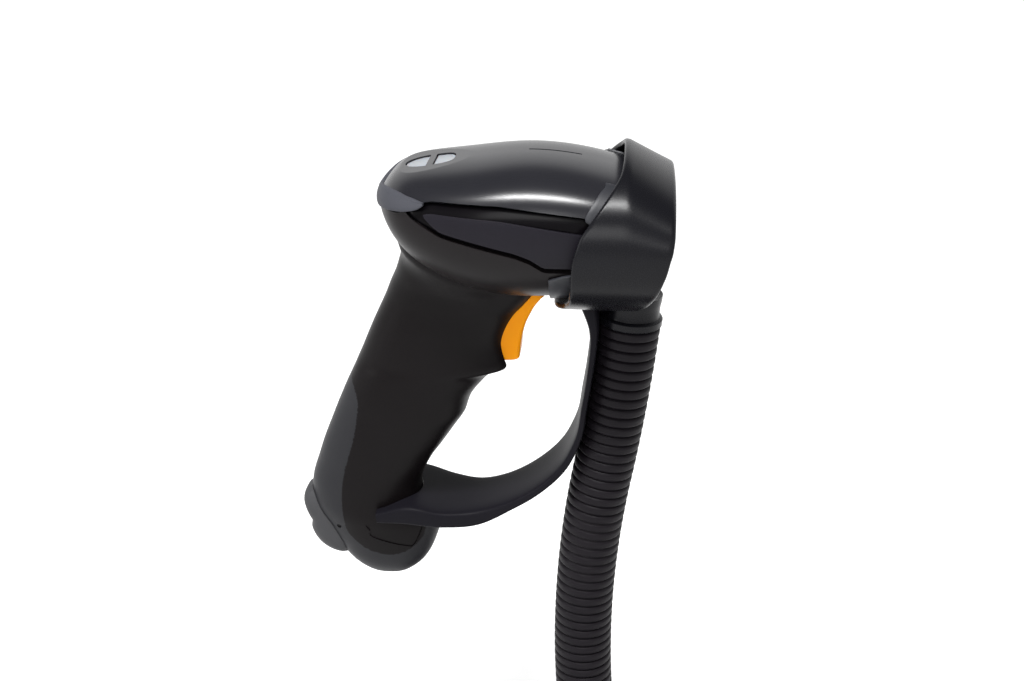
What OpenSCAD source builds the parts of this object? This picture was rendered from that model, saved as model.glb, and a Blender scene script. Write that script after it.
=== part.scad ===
// Hand-held barcode scanner seated in a hands-free gooseneck stand
// +X runs from the back of the head to its nose, +Z is up, the origin is under the middle of the base

/* [Head] */
// Length of the head from its back to its nose
head_len = 90; // [82:1:98]
// Width of the head at its widest
head_w = 66; // [62:1:70]
// Height of the head at its tallest
head_h = 51; // [48:1:54]
// Wall of the head mouldings
head_wall = 2.2; // [1.8:0.1:2.6]
// Slope of the flat tongue that carries the indicators, in degrees
tongue_tilt = 10; // [8:0.5:12]
// Depth of the glossy side strips below the surface of the head
strip_depth = 1.4; // [1:0.1:1.6]

/* [Handle] */
// Width of the handle at its widest
grip_w = 32.6; // [31:0.2:34]
// Depth by which the side of the handle narrows at its lower end
grip_taper = 2.2; // [1.8:0.1:2.8]
// Wall of the battery cover
battery_cover_wall = 2.4; // [2:0.1:2.8]
// Diameter of the battery cell
cell_d = 18.4; // [17:0.1:18.6]
// Length of the battery cell
cell_len = 65; // [60:1:66]
// Width of the rounded pad at the lower end
pad_w = 18.8; // [17:0.2:19.6]

/* [Trigger] */
// Width of the trigger
trigger_w = 13; // [11:0.5:14]
// Diameter of the trigger pin
trigger_pin_d = 3; // [2.4:0.1:3.4]
// Travel of the trigger in degrees
trigger_travel = 5; // [3:0.5:6]

/* [Stand] */
// Distance from the side of the head to the outside of the hood
hood_side = 4.8; // [4.4:0.1:6]
// Distance from the top of the head to the top of the hood
hood_rise = 2.4; // [1.6:0.2:5]
// Wall of the hood
hood_wall = 2.2; // [1.8:0.1:2.4]
// Width of the arm
arm_w = 25; // [24.6:0.2:27]
// Thickness of the arm beside the gooseneck
arm_t = 2.6; // [2.5:0.1:3]
// Width over the two prongs of the fork
fork_w = 35.4; // [35:0.2:37]

/* [Gooseneck] */
// Diameter over the ribs of the gooseneck
neck_d = 22; // [20:0.5:22]
// Diameter of the gooseneck between its ribs
neck_root_d = 19.6; // [18:0.2:19.6]
// Diameter of the steel core of the gooseneck
neck_core_d = 14; // [11:0.5:15]
// Distance from rib to rib
rib_pitch = 3.65; // [3.4:0.05:4.2]
// Part of the pitch that is groove
rib_gap = 1; // [0.8:0.1:1.3]

/* [Base] */
// Diameter of the base
base_d = 130; // [115:1:150]
// Height of the straight edge of the base
base_edge = 11; // [10:0.5:14]
// Thickness of the steel weight
weight_t = 8; // [5:0.5:8]
// Height of the boss that carries the gooseneck
boss_h = 31; // [28:0.5:34]
// Thickness of the rubber pad under the base
base_pad_t = 1.5; // [1:0.1:2]

/* [Clearances] */
// Gap between mouldings that meet at a seam
seam = 0.3; // [0.2:0.05:0.5]
// Gap between pieces that seat on each other
seat = 0.15; // [0.1:0.05:0.3]
// Radial clearance of the trigger on its pin
pin_play = 0.05; // [0.02:0.01:0.1]

/* [Hidden] */
$fn = 48;

// Colours of the materials
satin_black = [0.10, 0.10, 0.11];
grip_black = [0.09, 0.085, 0.085];
cover_grey = [0.19, 0.19, 0.21];
gloss_black = [0.03, 0.025, 0.03];
insert_grey = [0.21, 0.22, 0.25];
rubber_grey = [0.42, 0.43, 0.47];
trigger_orange = [1.0, 0.60, 0.05];
lens_white = [0.88, 0.90, 0.92];
board_green = [0.05, 0.30, 0.15];
steel = [0.62, 0.63, 0.65];

// Values between the points of a list, along straight lines
function mix(a, b, t) = a + (b - a) * t;
function step_of(t, p, i = 0) = i >= len(p) - 2 || t <= p[i + 1][0] ? i : step_of(t, p, i + 1);
function part_of(t, p, i) = min(1, max(0, (t - p[i][0]) / (p[i + 1][0] - p[i][0])));
function straight(t, p, c = 1) = let (i = step_of(t, p)) mix(p[i][c], p[i + 1][c], part_of(t, p, i));

// Values between the points of a list, along a smooth curve
function slope_at(p, i, c) =
    let (a = max(0, i - 1), b = min(len(p) - 1, i + 1)) (p[b][c] - p[a][c]) / (p[b][0] - p[a][0]);
function smooth(t, p, c = 1) =
    let (i = step_of(t, p), u = part_of(t, p, i), w = p[i + 1][0] - p[i][0])
    (2 * u ^ 3 - 3 * u ^ 2 + 1) * p[i][c] + (u ^ 3 - 2 * u ^ 2 + u) * w * slope_at(p, i, c)
    + (3 * u ^ 2 - 2 * u ^ 3) * p[i + 1][c] + (u ^ 3 - u ^ 2) * w * slope_at(p, i + 1, c);
function rounded_power(v, n) = sign(v) * pow(abs(v), 2 / n);

// Faces of a grid of points whose columns run across each row
function grid_faces(rows, cols, from, flip, wrap) = [
    for (i = [0:rows - 2]) for (j = [0:cols - (wrap ? 1 : 2)])
        let (k = (j + 1) % cols, a = from + i * cols + j, b = from + i * cols + k,
             c = from + (i + 1) * cols + k, d = from + (i + 1) * cols + j)
        for (f = flip ? [[a, c, b], [a, d, c]] : [[a, b, c], [a, c, d]]) f];

// Faces that close one edge between the outer and the inner grid
function edge_faces(outer, inner, flip) = [
    for (i = [0:len(outer) - 2])
        for (f = flip ? [[outer[i], inner[i], inner[i + 1]], [outer[i], inner[i + 1], outer[i + 1]]]
                      : [[outer[i], inner[i + 1], inner[i]], [outer[i], outer[i + 1], inner[i + 1]]]) f];

// A moulded skin between an outer and an inner grid of points
module skin(outer, inner, wrap = false) {
    rows = len(outer);
    rows_in = len(inner);
    cols = len(outer[0]);
    n = rows * cols;
    last = (rows - 1) * cols;
    last_in = n + (rows_in - 1) * cols;
    round = [for (j = [0:cols - (wrap ? 0 : 1)]) j % cols];
    sides = wrap ? [] : concat(
        edge_faces([for (i = [0:rows - 1]) i * cols], [for (i = [0:rows - 1]) n + i * cols], false),
        edge_faces([for (i = [0:rows - 1]) i * cols + cols - 1],
                   [for (i = [0:rows - 1]) n + i * cols + cols - 1], true));
    polyhedron(
        points = [for (g = [outer, inner]) for (r = g) for (p = r) p],
        faces = concat(
            grid_faces(rows, cols, 0, false, wrap), grid_faces(rows_in, cols, n, true, wrap),
            edge_faces(round, [for (j = round) n + j], true),
            edge_faces([for (j = round) last + j], [for (j = round) last_in + j], false), sides));
}

// A solid that is lofted through rings of points and closed at both ends
module loft(rings) {
    rows = len(rings);
    cols = len(rings[0]);
    polyhedron(
        points = [for (r = rings) for (p = r) p],
        faces = concat(grid_faces(rows, cols, 0, false, true),
                       [[for (j = [cols - 1:-1:0]) j]], [[for (j = [0:cols - 1]) (rows - 1) * cols + j]]));
}

// Head: sections at parts of its length, as shares of its height and half width
nose_x = 4;
head_x = nose_x - head_len;
head_form = [[0, 0.715, 0.665, 0.06], [0.015, 0.775, 0.60, 0.34], [0.067, 0.885, 0.44, 0.67],
             [0.178, 0.922, 0.24, 0.88], [0.356, 0.968, 0.088, 0.985], [0.578, 1.005, 0.052, 1],
             [0.8, 0.96, 0.09, 0.965], [1, 0.87, 0.14, 0.89]];
head_level = [[0, 0.69], [0.3, 0.62], [1, 0.585]];
upper_n = 2.6;
lower_n = 2.25;
head_cuts = [0, 0.015, 0.04, 0.07, 0.105, 0.145, 0.19, 0.225, 0.268, 0.33, 0.41, 0.48, 0.584, 0.634, 0.7,
             0.77, 0.84, 0.92, 1];
head_xs = [for (u = head_cuts) head_x + u * head_len];
tongue_x = head_x + 0.465 * head_len;
tongue_z = 1.003 * head_h;

function head_u(x) = (x - head_x) / head_len;
function head_mid(x) = head_h * straight(head_u(x), head_level);
function head_top(x) = head_h * smooth(head_u(x), head_form, 1);
function head_low(x) = head_h * smooth(head_u(x), head_form, 2);
function head_half(x) = head_w / 2 * smooth(head_u(x), head_form, 3);
function tongue(x) = tongue_z - (tongue_x - x) * tan(tongue_tilt);
function reach(x, up) = up ? head_top(x) - head_mid(x) : head_mid(x) - head_low(x);
function power_of(up) = up ? upper_n : lower_n;

// Point on the head at an angle from its right side over the top, d outside the surface
function head_point(x, a, d) =
    let (n = power_of(sin(a) > 0),
         z = head_mid(x) + max(0.05, reach(x, sin(a) > 0) + d) * rounded_power(sin(a), n))
    [x, -max(0.05, head_half(x) + d) * rounded_power(cos(a), n), min(z, tongue(x) + d)];

// Angle at which the head surface passes a height, and its half width there
function head_angle(x, z) =
    let (up = z > head_mid(x), v = (z - head_mid(x)) / reach(x, up))
    sign(v) * asin(min(1, pow(abs(v), power_of(up) / 2)));
function half_at(x, z) =
    let (up = z > head_mid(x), n = power_of(up), v = abs(z - head_mid(x)) / reach(x, up))
    head_half(x) * pow(max(0, 1 - v ^ n), 1 / n);

// Seam under the top cover and seam over the belly, as shares of the head's length and height
cover_line = [[0, 0.70], [0.13, 0.72], [0.212, 0.80], [0.48, 0.795], [0.77, 0.735], [1, 0.66]];
belly_line = [[0, 0.69], [0.14, 0.70], [0.19, 0.655], [0.268, 0.584], [0.53, 0.47], [0.584, 0.432],
              [0.634, 0.37], [1, 0.36]];
function cover_z(x) = head_h * straight(head_u(x), cover_line);
function belly_z(x) = head_h * straight(head_u(x), belly_line);

// Rows of points on the head between two angles that follow x
function band(xs, from, to, cols, d) = [
    for (x = xs) [for (j = [0:cols]) head_point(x, mix(from(x), to(x), j / cols), d)]];

module mirrored_left() {
    mirror([0, 1, 0]) children();
}

// The head and the handle stand on the top of the gooseneck's route
module seated() {
    translate([route_end[0], 0, route_end[1]]) children();
}

// Gooseneck route from the base up: length and turn of each arc after a straight start
socket_floor = 6;
neck_start = base_pad_t + weight_t + socket_floor;
neck_straight = 29.5;
neck_arcs = [[30, -4], [96, 13.5], [70, -5]];
function arc_steps(i = 0, at = [0, neck_start + neck_straight, 0]) =
    i >= len(neck_arcs) ? [at]
    : let (l = neck_arcs[i][0], turn = neck_arcs[i][1], r = l / (turn * PI / 180), h = at[2])
      concat([at], arc_steps(i + 1, [at[0] + r * (cos(h) - cos(h + turn)),
                                     at[1] + r * (sin(h + turn) - sin(h)), h + turn]));
route = arc_steps();
route_end = route[len(route) - 1];
neck_length = neck_straight + neck_arcs[0][0] + neck_arcs[1][0] + neck_arcs[2][0];

// Place and heading on the route at a length from its start
function route_at(s, i = 0, done = 0) =
    s <= neck_straight ? [0, neck_start + s, 0]
    : let (l = neck_arcs[i][0], turn = neck_arcs[i][1], u = s - neck_straight - done)
      i < len(neck_arcs) - 1 && u > l ? route_at(s, i + 1, done + l)
      : let (r = l / (turn * PI / 180), h = route[i][2], g = turn * u / l)
        [route[i][0] + r * (cos(h) - cos(h + g)), route[i][1] + r * (sin(h + g) - sin(h)), h + g];

// A ring of points round the route
function ring_at(s, r) =
    let (p = route_at(s)) [for (j = [0:neck_cols - 1]) let (a = -360 * j / neck_cols)
        [p[0] + r * cos(a) * cos(p[2]), r * sin(a), p[1] - r * cos(a) * sin(p[2])]];
neck_cols = 16;

// Handle: sections at heights, with the back, the front and the share of the width
grip_form = [[-114.7, -92.5, -83.5, 0.25], [-112.2, -97.8, -79, 0.55], [-107.3, -103.6, -74, 0.77],
             [-99.5, -109, -70.3, 0.88], [-91, -113.2, -68.6, 0.97], [-86.5, -115.4, -71.2, 1],
             [-82, -116.4, -74.8, 1], [-74, -116, -75.4, 1], [-64.5, -113, -71.2, 1], [-58, -110.8, -66.8, 1],
             [-51, -108, -62.2, 1], [-45.5, -105.8, -58.6, 1],
             [-42, -104.3, -57.5, 1], [-38, -102.6, -55.9, 1], [-33, -100.3, -52.2, 1], [-27.9, -97.9, -47, 1],
             [-26.7, -97.4, -42.5, 1], [-24.9, -96.6, -41.1, 1], [-22, -95.3, -42.2, 1],
             [-16.5, -93, -43.4, 1], [-11.2, -90.7, -42.1, 1], [-5.8, -88.2, -39.2, 1],
             [-1.7, -86.3, -35.6, 1.02], [4, -84, -31.5, 1.08], [9, -81.8, -31, 1.18], [20, -78.5, -31, 1.3]];
grip_n = 2.3;
grip_cols = 32;
function grip_half(z, d) =
    (grip_w / 2 - grip_taper * min(1, max(0, -z / 80)) + d) * straight(z, grip_form, 3);
function grip_ring(z, d) =
    let (back = smooth(z, grip_form, 1) - d, front = smooth(z, grip_form, 2) + d, half = grip_half(z, d))
    [for (j = [0:grip_cols - 1]) let (a = -360 * j / grip_cols)
        [mix(back, front, 0.5) + (front - back) / 2 * rounded_power(cos(a), grip_n),
         half * rounded_power(sin(a), grip_n), z]];
module grip(d, low = grip_form[0][0], high = 20) {
    zs = [for (p = grip_form) if (p[0] > low && p[0] < high) p[0]];
    loft([for (z = concat([low], zs, [high])) grip_ring(z, d)]);
}

// Outline of the battery cover seen from the side
cover_edge = [[-130, -31.5], [-99.5, -31.5], [-97.6, -34.2], [-96.3, -37.6], [-95.9, -42], [-97.4, -51.5],
              [-99.9, -60], [-102.3, -69], [-103.3, -77], [-103.2, -86.5], [-101.8, -93], [-98, -97.8],
              [-93, -100.8], [-87.2, -102], [-82, -101.4], [-77.4, -98.6], [-73.8, -94.6],
              [-70.6, -88], [-55, -86], [-55, -120], [-130, -120]];

// Bore for the battery cell along the handle
cell_top = [-70.5, -19];
cell_lean = 21.5;
module along_cell() {
    translate([cell_top[0], 0, cell_top[1]]) rotate([0, cell_lean, 0]) children();
}

// Pocket for the trigger, its pin and its switch
trigger_axis = [-42, 6.5];
pocket_w = trigger_w + 2 * 0.4;
pocket_back = -59;
bearing_t = 4;
pin_len = pocket_w + 2 * bearing_t - 1.6;

module at_trigger() {
    translate([trigger_axis[0], 0, trigger_axis[1]]) children();
}

module across(l, d) {
    rotate([90, 0, 0]) cylinder(d = d, h = l, center = true);
}

// Inner space of the head
module head_space(d) {
    loft([for (x = [for (u = [0.03, 0.08, 0.16, 0.28, 0.42, 0.58, 0.74, 0.88, 1.05]) head_x + u * head_len])
        [for (j = [0:23]) head_point(x, 15 * j, -d)]]);
}

// Posts inside the belly that carry the boards
board_z = 19;
board_size = [40, 40, 1.6];
board_at = [-66, -20];
post_at = [[-62, -13], [-62, 13], [-31, -13], [-31, 13]];
post_d = 6;
engine_post_at = [[-11, -18], [-11, 18]];
engine_z = 14;
screw_d = 2;

function belly_at(x, y) =
    head_mid(x) - reach(x, false) * pow(1 - (abs(y) / head_half(x)) ^ lower_n, 1 / lower_n);
module posts(at, top) {
    for (p = at) {
        foot = belly_at(p[0], abs(p[1]) + post_d / 2) + 0.8;
        translate([p[0], p[1], foot]) cylinder(d = post_d, h = top - foot);
    }
}

// Top cover

lens_gap = 0.25;
window_x = [for (x = [8.5, 16.4, 18.5, 25.3]) head_x + x];
window_half = 6.6;
slot_len = 17.5;

// Rear window ends in a half ellipse, front window has rounded corners
module rear_window(g) {
    intersection() {
        translate([window_x[1], 0]) scale([(window_x[1] - window_x[0] + g) / (window_half + g), 1])
            circle(window_half + g);
        translate([window_x[0] - 1, -20]) square([window_x[1] - window_x[0] + 1 + g, 40]);
    }
}
module front_window(g) {
    intersection() {
        translate([window_x[2], 0]) scale([(window_x[3] - window_x[2] + g) / (window_half + g) * 1.12, 1])
            circle(window_half + g);
        translate([window_x[2] - g, -20]) square([window_x[3] - window_x[2] + 2 * g, 40]);
    }
}

// Places a drawing on the tongue with its depth below the surface
module on_tongue(depth, above = 0) {
    translate([tongue_x, 0, tongue_z]) rotate([0, -tongue_tilt, 0])
        translate([-tongue_x, 0, -depth]) linear_extrude(depth + above) children();
}

cover_side = function(x) head_angle(x, cover_z(x) + seam);
cover_far_side = function(x) 180 - cover_side(x);
module top_cover() {
    color(satin_black) seated() difference() {
        skin(band(head_xs, cover_side, cover_far_side, 22, 0),
             band(head_xs, cover_side, cover_far_side, 22, -head_wall));
        on_tongue(head_wall * 2, 1) rear_window(lens_gap);
        on_tongue(head_wall * 2, 1) front_window(lens_gap);
        translate([-36, -0.5, head_h - 4]) cube([slot_len, 1, 6]);
    }
}

lens_flange = 0.9;
flange_depth = head_wall * cos(tongue_tilt) + 0.02;

module indicator_lens_rear() {
    color(lens_white) seated() {
        on_tongue(flange_depth + 1) rear_window(0);
        on_tongue(flange_depth + 1, -flange_depth) rear_window(lens_flange);
    }
}

module indicator_lens_front() {
    color(lens_white) seated() {
        on_tongue(flange_depth + 1) front_window(0);
        on_tongue(flange_depth + 1, -flange_depth) front_window(lens_flange);
    }
}

// Belly and handle

belly_side = function(x) head_angle(x, belly_z(x));
belly_far_side = function(x) -180 - belly_side(x);
module belly() {
    skin(band(head_xs, belly_side, belly_far_side, 26, -head_wall),
         band(head_xs, belly_side, belly_far_side, 26, 0));
}

// Shallow recess in each side of the handle below the fork
recess_depth = 0.8;
recess_edge = [[-93.3, -88], [-93.3, -91], [-92.4, -94], [-80.8, -97.9], [-77.4, -97.9], [-74, -90],
               [-74, -88]];
module side_recess() {
    difference() {
        translate([0, 20, 0]) rotate([90, 0, 0]) linear_extrude(40) polygon(recess_edge);
        grip(-recess_depth);
    }
}

module handle_solid() {
    difference() {
        grip(0);
        head_space(head_wall + 0.5);
        translate([0, 20, 0]) rotate([90, 0, 0]) linear_extrude(40) polygon(cover_edge);
        along_cell() translate([0, 0, -cell_len - 4]) cylinder(d = cell_d + 0.6, h = cell_len + 8);
        translate([pocket_back, -pocket_w / 2, -28.4]) cube([31, pocket_w, 41]);
        side_recess();
    }
}

module main_body() {
    color(grip_black) seated() difference() {
        union() {
            belly();
            handle_solid();
            posts(post_at, board_z);
            posts(engine_post_at, engine_z);
            for (y = [-pocket_w / 2 - bearing_t, pocket_w / 2])
                translate([trigger_axis[0] - 4, y, 2.4]) cube([8, bearing_t, trigger_axis[1] + 1]);
            translate([-106.2, -6.8, cover_screw_at[1] - 2]) cube([7.2, 3.5, 4]);
        }
        at_trigger() across(pin_len, trigger_pin_d + 2 * pin_play);
        translate([-50.5, -pocket_w / 2, -3]) cube([20.7, pocket_w, 12]);
        for (p = post_at)
            translate([p[0], p[1], board_z - 9]) cylinder(d = screw_d, h = 10);
        for (p = engine_post_at)
            translate([p[0], p[1], engine_z - 5]) cylinder(d = screw_d, h = 6);
        at_cover_screw() cylinder(d = cover_screw_d + 0.1, h = 8);
    }
}

module battery_cover() {
    color(cover_grey) seated() difference() {
        intersection() {
            grip(0);
            translate([0, 20, 0]) rotate([90, 0, 0]) linear_extrude(40)
                offset(delta = -seam) polygon(cover_edge);
        }
        grip(-battery_cover_wall, -110, -20);
        at_cover_screw() cylinder(d = cover_screw_d + 0.2, h = 12);
        at_cover_screw() translate([0, 0, cover_screw_len - 0.1]) cylinder(d = cover_screw_head + 0.2, h = 6);
    }
}

// Pad on the lower back corner: places along it, with its height and the share of its width
pad_centre = [-110.4, -92.4];
pad_lean = 59.8;
pad_foot = 4;
pad_n = 2.5;
pad_form = [[-14.9, 0.9, 0.32], [-13.9, 2.6, 0.6], [-12, 4.3, 0.78], [-9, 5.5, 0.9], [-5.4, 6.1, 0.96],
            [-3.2, 6.2, 0.98], [-2.4, 6.9, 0.99], [-0.6, 8.2, 1], [3, 8.9, 1],
            [6.5, 8.6, 0.98], [10, 7.1, 0.92], [13, 4.7, 0.78], [14.6, 2.7, 0.56], [15.3, 1.2, 0.32]];
function pad_ring(p) = [
    [-p[0], p[2] * pad_w / 2, -pad_foot],
    for (j = [0:12]) let (a = 15 * j)
        [-p[0], p[2] * pad_w / 2 * rounded_power(cos(a), pad_n), p[1] * rounded_power(sin(a), pad_n)],
    [-p[0], -p[2] * pad_w / 2, -pad_foot]];

module end_pad() {
    color(cover_grey) seated() difference() {
        translate([pad_centre[0], 0, pad_centre[1]]) rotate([0, 180 + pad_lean, 0])
            loft([for (p = pad_form) pad_ring(p)]);
        grip(seat);
    }
}

cover_screw_at = [-105.3, -91];
cover_screw_d = 1;
cover_screw_head = 1.6;
cover_screw_len = 6;
module at_cover_screw() {
    translate([cover_screw_at[0], -3.8, cover_screw_at[1]]) rotate([90, 0, 0]) children();
}

module cover_screw() {
    color(steel) seated() at_cover_screw() {
        cylinder(d = cover_screw_d, h = cover_screw_len);
        translate([0, 0, cover_screw_len - 0.1]) cylinder(d = cover_screw_head, h = 0.7);
    }
}

// Bumper round the back of the head

bumper_tip = head_x + 0.19 * head_len;
bumper_levels = [0, 0.3, 0.7, 1];
function back_x(z, lo, hi, n = 16) =
    let (m = (lo + hi) / 2, in_head = z < head_top(m) && z > head_low(m))
    n == 0 ? m : in_head ? back_x(z, lo, m, n - 1) : back_x(z, m, hi, n - 1);
function bumper_z(t, v) = mix(mix(0.655, 0.79, t ^ 2) * head_h, 0.80 * head_h, v);
function bumper_point(t, v, d) =
    let (z = bumper_z(t, v), x0 = back_x(z, head_x, bumper_tip), x = mix(x0, bumper_tip, t ^ 2),
         y = sign(t) * half_at(x, z), c = [x, y, z] - [head_x + 0.3 * head_len, 0, 0.68 * head_h])
    [x, y, z] + d * c / norm(c);
function bumper_grid(d_edge, d_mid) = [
    for (v = bumper_levels) [for (j = [-14:14]) bumper_point(j / 14, v, v == 0 || v == 1 ? d_edge : d_mid)]];

module rear_bumper() {
    color(rubber_grey) seated() skin(bumper_grid(0.85, 1.3), bumper_grid(0.4, 0.4));
}

// Side strips and blades

trim_xs = [
    for (u = [0.15, 0.19, 0.225, 0.268, 0.33, 0.41, 0.48, 0.53, 0.584, 0.634, 0.7, 0.77, 0.84, 0.92, 1])
        head_x + u * head_len];
blade_xs = [for (u = [0.215, 0.238, 0.268, 0.33, 0.41, 0.48, 0.53, 0.584, 0.634, 0.7, 0.775])
    head_x + u * head_len];
trim_t = 1.2;
blade_top_gap = [[0.215, 3.2], [0.775, 5.2]];
blade_low_gap = 1.8;
function blade_top(x) = cover_z(x) - straight(head_u(x), blade_top_gap);
function blade_low(x) = min(blade_top(x) - 0.8, belly_z(x) + blade_low_gap);

module side_trim() {
    low = function(x) head_angle(x, belly_z(x) + seam);
    high = function(x) head_angle(x, cover_z(x));
    skin(band(trim_xs, low, high, 4, -strip_depth), band(trim_xs, low, high, 4, -strip_depth - trim_t));
}

module side_insert() {
    low = function(x) head_angle(x, blade_low(x));
    high = function(x) head_angle(x, blade_top(x));
    skin(band(blade_xs, low, high, 3, 0), band(blade_xs, low, high, 3, -strip_depth + seat));
}

module side_trim_right() {
    color(gloss_black) seated() side_trim();
}

module side_trim_left() {
    color(gloss_black) seated() mirrored_left() side_trim();
}

module side_insert_right() {
    color(insert_grey) seated() side_insert();
}

module side_insert_left() {
    color(insert_grey) seated() mirrored_left() side_insert();
}

// Rubber boot round the nose

boot_t = 0.9;
boot_edge_t = 0.5;
boot_edge = [[0.35, -27.5], [0.38, -13.5], [0.69, -13.5], [0.72, -16.5], [0.84, -9.8]];
boot_cols = 34;
boot_top = 0.825 * head_h;
boot_turn_x = -10;
boot_level_x = -14;
function boot_x(z) = straight(z / head_h, boot_edge) * head_len / 90;
function boot_rows(d0, d1, end) = [
    for (i = [0:5]) [for (j = [0:boot_cols])
        let (a0 = head_angle(boot_turn_x, boot_top), a = mix(a0, -180 - a0, j / boot_cols),
             z = head_point(boot_level_x, a, 0)[2], x = mix(boot_x(z), end, i / 5))
        head_point(x, a, i == 5 ? d0 : d1)]];

module nose_boot() {
    color(rubber_grey) seated()
        skin(boot_rows(seat, seat, nose_x), boot_rows(boot_edge_t + seat, boot_t + seat, nose_x));
}

window_t = 1.5;
module scan_window() {
    inset = strip_depth + trim_t + seam;
    color([0.25, 0.02, 0.04, 0.6]) seated() translate([nose_x - 2 * window_t, 0, 0]) rotate([90, 0, 90])
        linear_extrude(window_t)
            polygon([for (j = [0:31]) let (p = head_point(nose_x, 360 * j / 32, -inset)) [p[1], p[2]]]);
}

// Trigger

spring_gap = 5.6;
module trigger() {
    color(trigger_orange) seated() difference() {
        translate([0, trigger_w / 2, 0]) rotate([90, 0, 0]) linear_extrude(trigger_w)
            polygon([[-46, 2], [-46.5, 8], [-44, 10.5], [-40, 10.5], [-37.5, 8], [-35.2, 2.6], [-30.4, 1.5],
                     [-31.3, 0], [-33.3, -2.5], [-35, -5.7], [-36.4, -8.9], [-37.5, -12.8], [-38.1, -16.6],
                     [-38.4, -19.5], [-38.6, -21.9], [-39.8, -23.1], [-43, -23.5], [-48, -22.8], [-48.6, -17],
                     [-47.5, -8]]);
        at_trigger() across(trigger_w + 2, trigger_pin_d + 2 * pin_play);
        at_trigger() translate([-6, -spring_gap / 2, -3.4]) cube([9.4, spring_gap, 9]);
    }
}

module trigger_pin() {
    color(steel) seated() at_trigger() across(pin_len - 0.4, trigger_pin_d);
}

spring_wire = 0.8;
spring_d = 5.2;
module trigger_spring() {
    color(steel) seated() at_trigger() {
        difference() {
            across(spring_gap - 0.8, spring_d);
            across(spring_gap + 1, spring_d - 2 * spring_wire);
        }
        translate([spring_d / 2 - spring_wire / 2, 1.8, -3]) cylinder(d = spring_wire - 0.1, h = 3);
        translate([-6.4, -1.8, spring_d / 2 - spring_wire / 2]) rotate([0, 90, 0])
            cylinder(d = spring_wire - 0.1, h = 6.4);
    }
}

board_t = 1.6;
switch_z = -17;
module trigger_switch() {
    color([0.12, 0.12, 0.13]) seated() translate([pocket_back + board_t, 0, switch_z]) {
        translate([0, -3, -3]) cube([5, 6, 6]);
        rotate([0, 90, 0]) cylinder(d = 2.4, h = 6);
    }
}

module trigger_board() {
    color(board_green) seated() translate([pocket_back, -6, switch_z - 9]) cube([board_t, 12, 20]);
}

// Electronics

module main_board() {
    color(board_green) seated() difference() {
        translate([board_at[0], board_at[1], board_z]) cube(board_size);
        for (p = post_at)
            translate([p[0], p[1], board_z - 1]) cylinder(d = screw_d + 0.4, h = 4);
    }
}

module board_screws() {
    color(steel) seated() for (p = post_at)
        translate([p[0], p[1], board_z + board_size[2]]) {
            cylinder(d = 4, h = 1.2);
            translate([0, 0, -7]) cylinder(d = screw_d - 0.1, h = 7.5);
        }
}

module buzzer() {
    color([0.1, 0.1, 0.1]) seated() translate([-37, 0, board_z + board_size[2]]) cylinder(d = 12, h = 5);
}

engine_size = [18, 27, 15];
bracket_t = 1.2;
module engine_bracket() {
    color(steel) seated() difference() {
        union() {
            translate([-21, -14, engine_z]) cube([20, 28, bracket_t]);
            translate([-15, -20.5, engine_z]) cube([8, 41, bracket_t]);
        }
        for (p = engine_post_at)
            translate([p[0], p[1], engine_z - 1]) cylinder(d = screw_d + 0.4, h = 4);
    }
}

module bracket_screws() {
    color(steel) seated() for (p = engine_post_at)
        translate([p[0], p[1], engine_z + bracket_t]) {
            cylinder(d = 4, h = 1.2);
            translate([0, 0, -5]) cylinder(d = screw_d - 0.1, h = 5.5);
        }
}

module scan_engine() {
    color([0.15, 0.15, 0.16]) seated() difference() {
        translate([-20, -engine_size[1] / 2, engine_z + bracket_t]) cube(engine_size);
        translate([-6, 0, engine_z + bracket_t + engine_size[2] / 2]) rotate([0, 90, 0])
            cylinder(d = 8, h = 5);
    }
}

module battery_cell() {
    color([0.2, 0.35, 0.6]) seated() along_cell() translate([0, 0, -cell_len])
        cylinder(d = cell_d, h = cell_len);
}

module battery_contact() {
    color(steel) seated() along_cell() translate([0, 0, seat]) cylinder(d = 12, h = 0.8);
}

// Hood, collar and arm

hood_half = head_w / 2 + hood_side;
hood_top = head_h + hood_rise;
hood_level = 26;
hood_low = -0.8;
hood_n = 2.2;
rim_line = [[-4, -27], [0.3, -26.6], [3, -22.6], [8, -20.9], [12, -20.6], [19.4, -20.2], [25.6, -19.7],
            [33.2, -17.5], [36.5, -15.1], [40.7, -12.1], [46.2, -7.9],
            [49.5, -5.4], [52.2, -4.6], [54, -4.4]];
front_line = [[-4, -2.5], [3, 1], [7, 4.6], [13, 7.5], [21, 10], [29, 11.6], [36, 12.2], [54, 12.4]];
hood_cols = 44;
hood_fall = 0.55;
hood_fall_x = -3;

function hood_point(x, a, d) =
    let (up = sin(a) > 0, top = hood_top - hood_fall * max(0, x - hood_fall_x) - hood_level,
         h = (up ? top : hood_level - hood_low) + d)
    [x, -(hood_half + d) * rounded_power(cos(a), hood_n), hood_level + h * rounded_power(sin(a), hood_n)];
function hood_rows(d, steps) = [
    for (i = [0:steps]) [for (j = [0:hood_cols - 1])
        let (a = 360 * j / hood_cols, z = hood_point(-5, a, 0)[2])
        hood_point(mix(straight(z, rim_line), straight(z, front_line), i / steps), a, d)]];

collar_len = 9.6;
collar_r = 10;
bead_h = 3.3;

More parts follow.
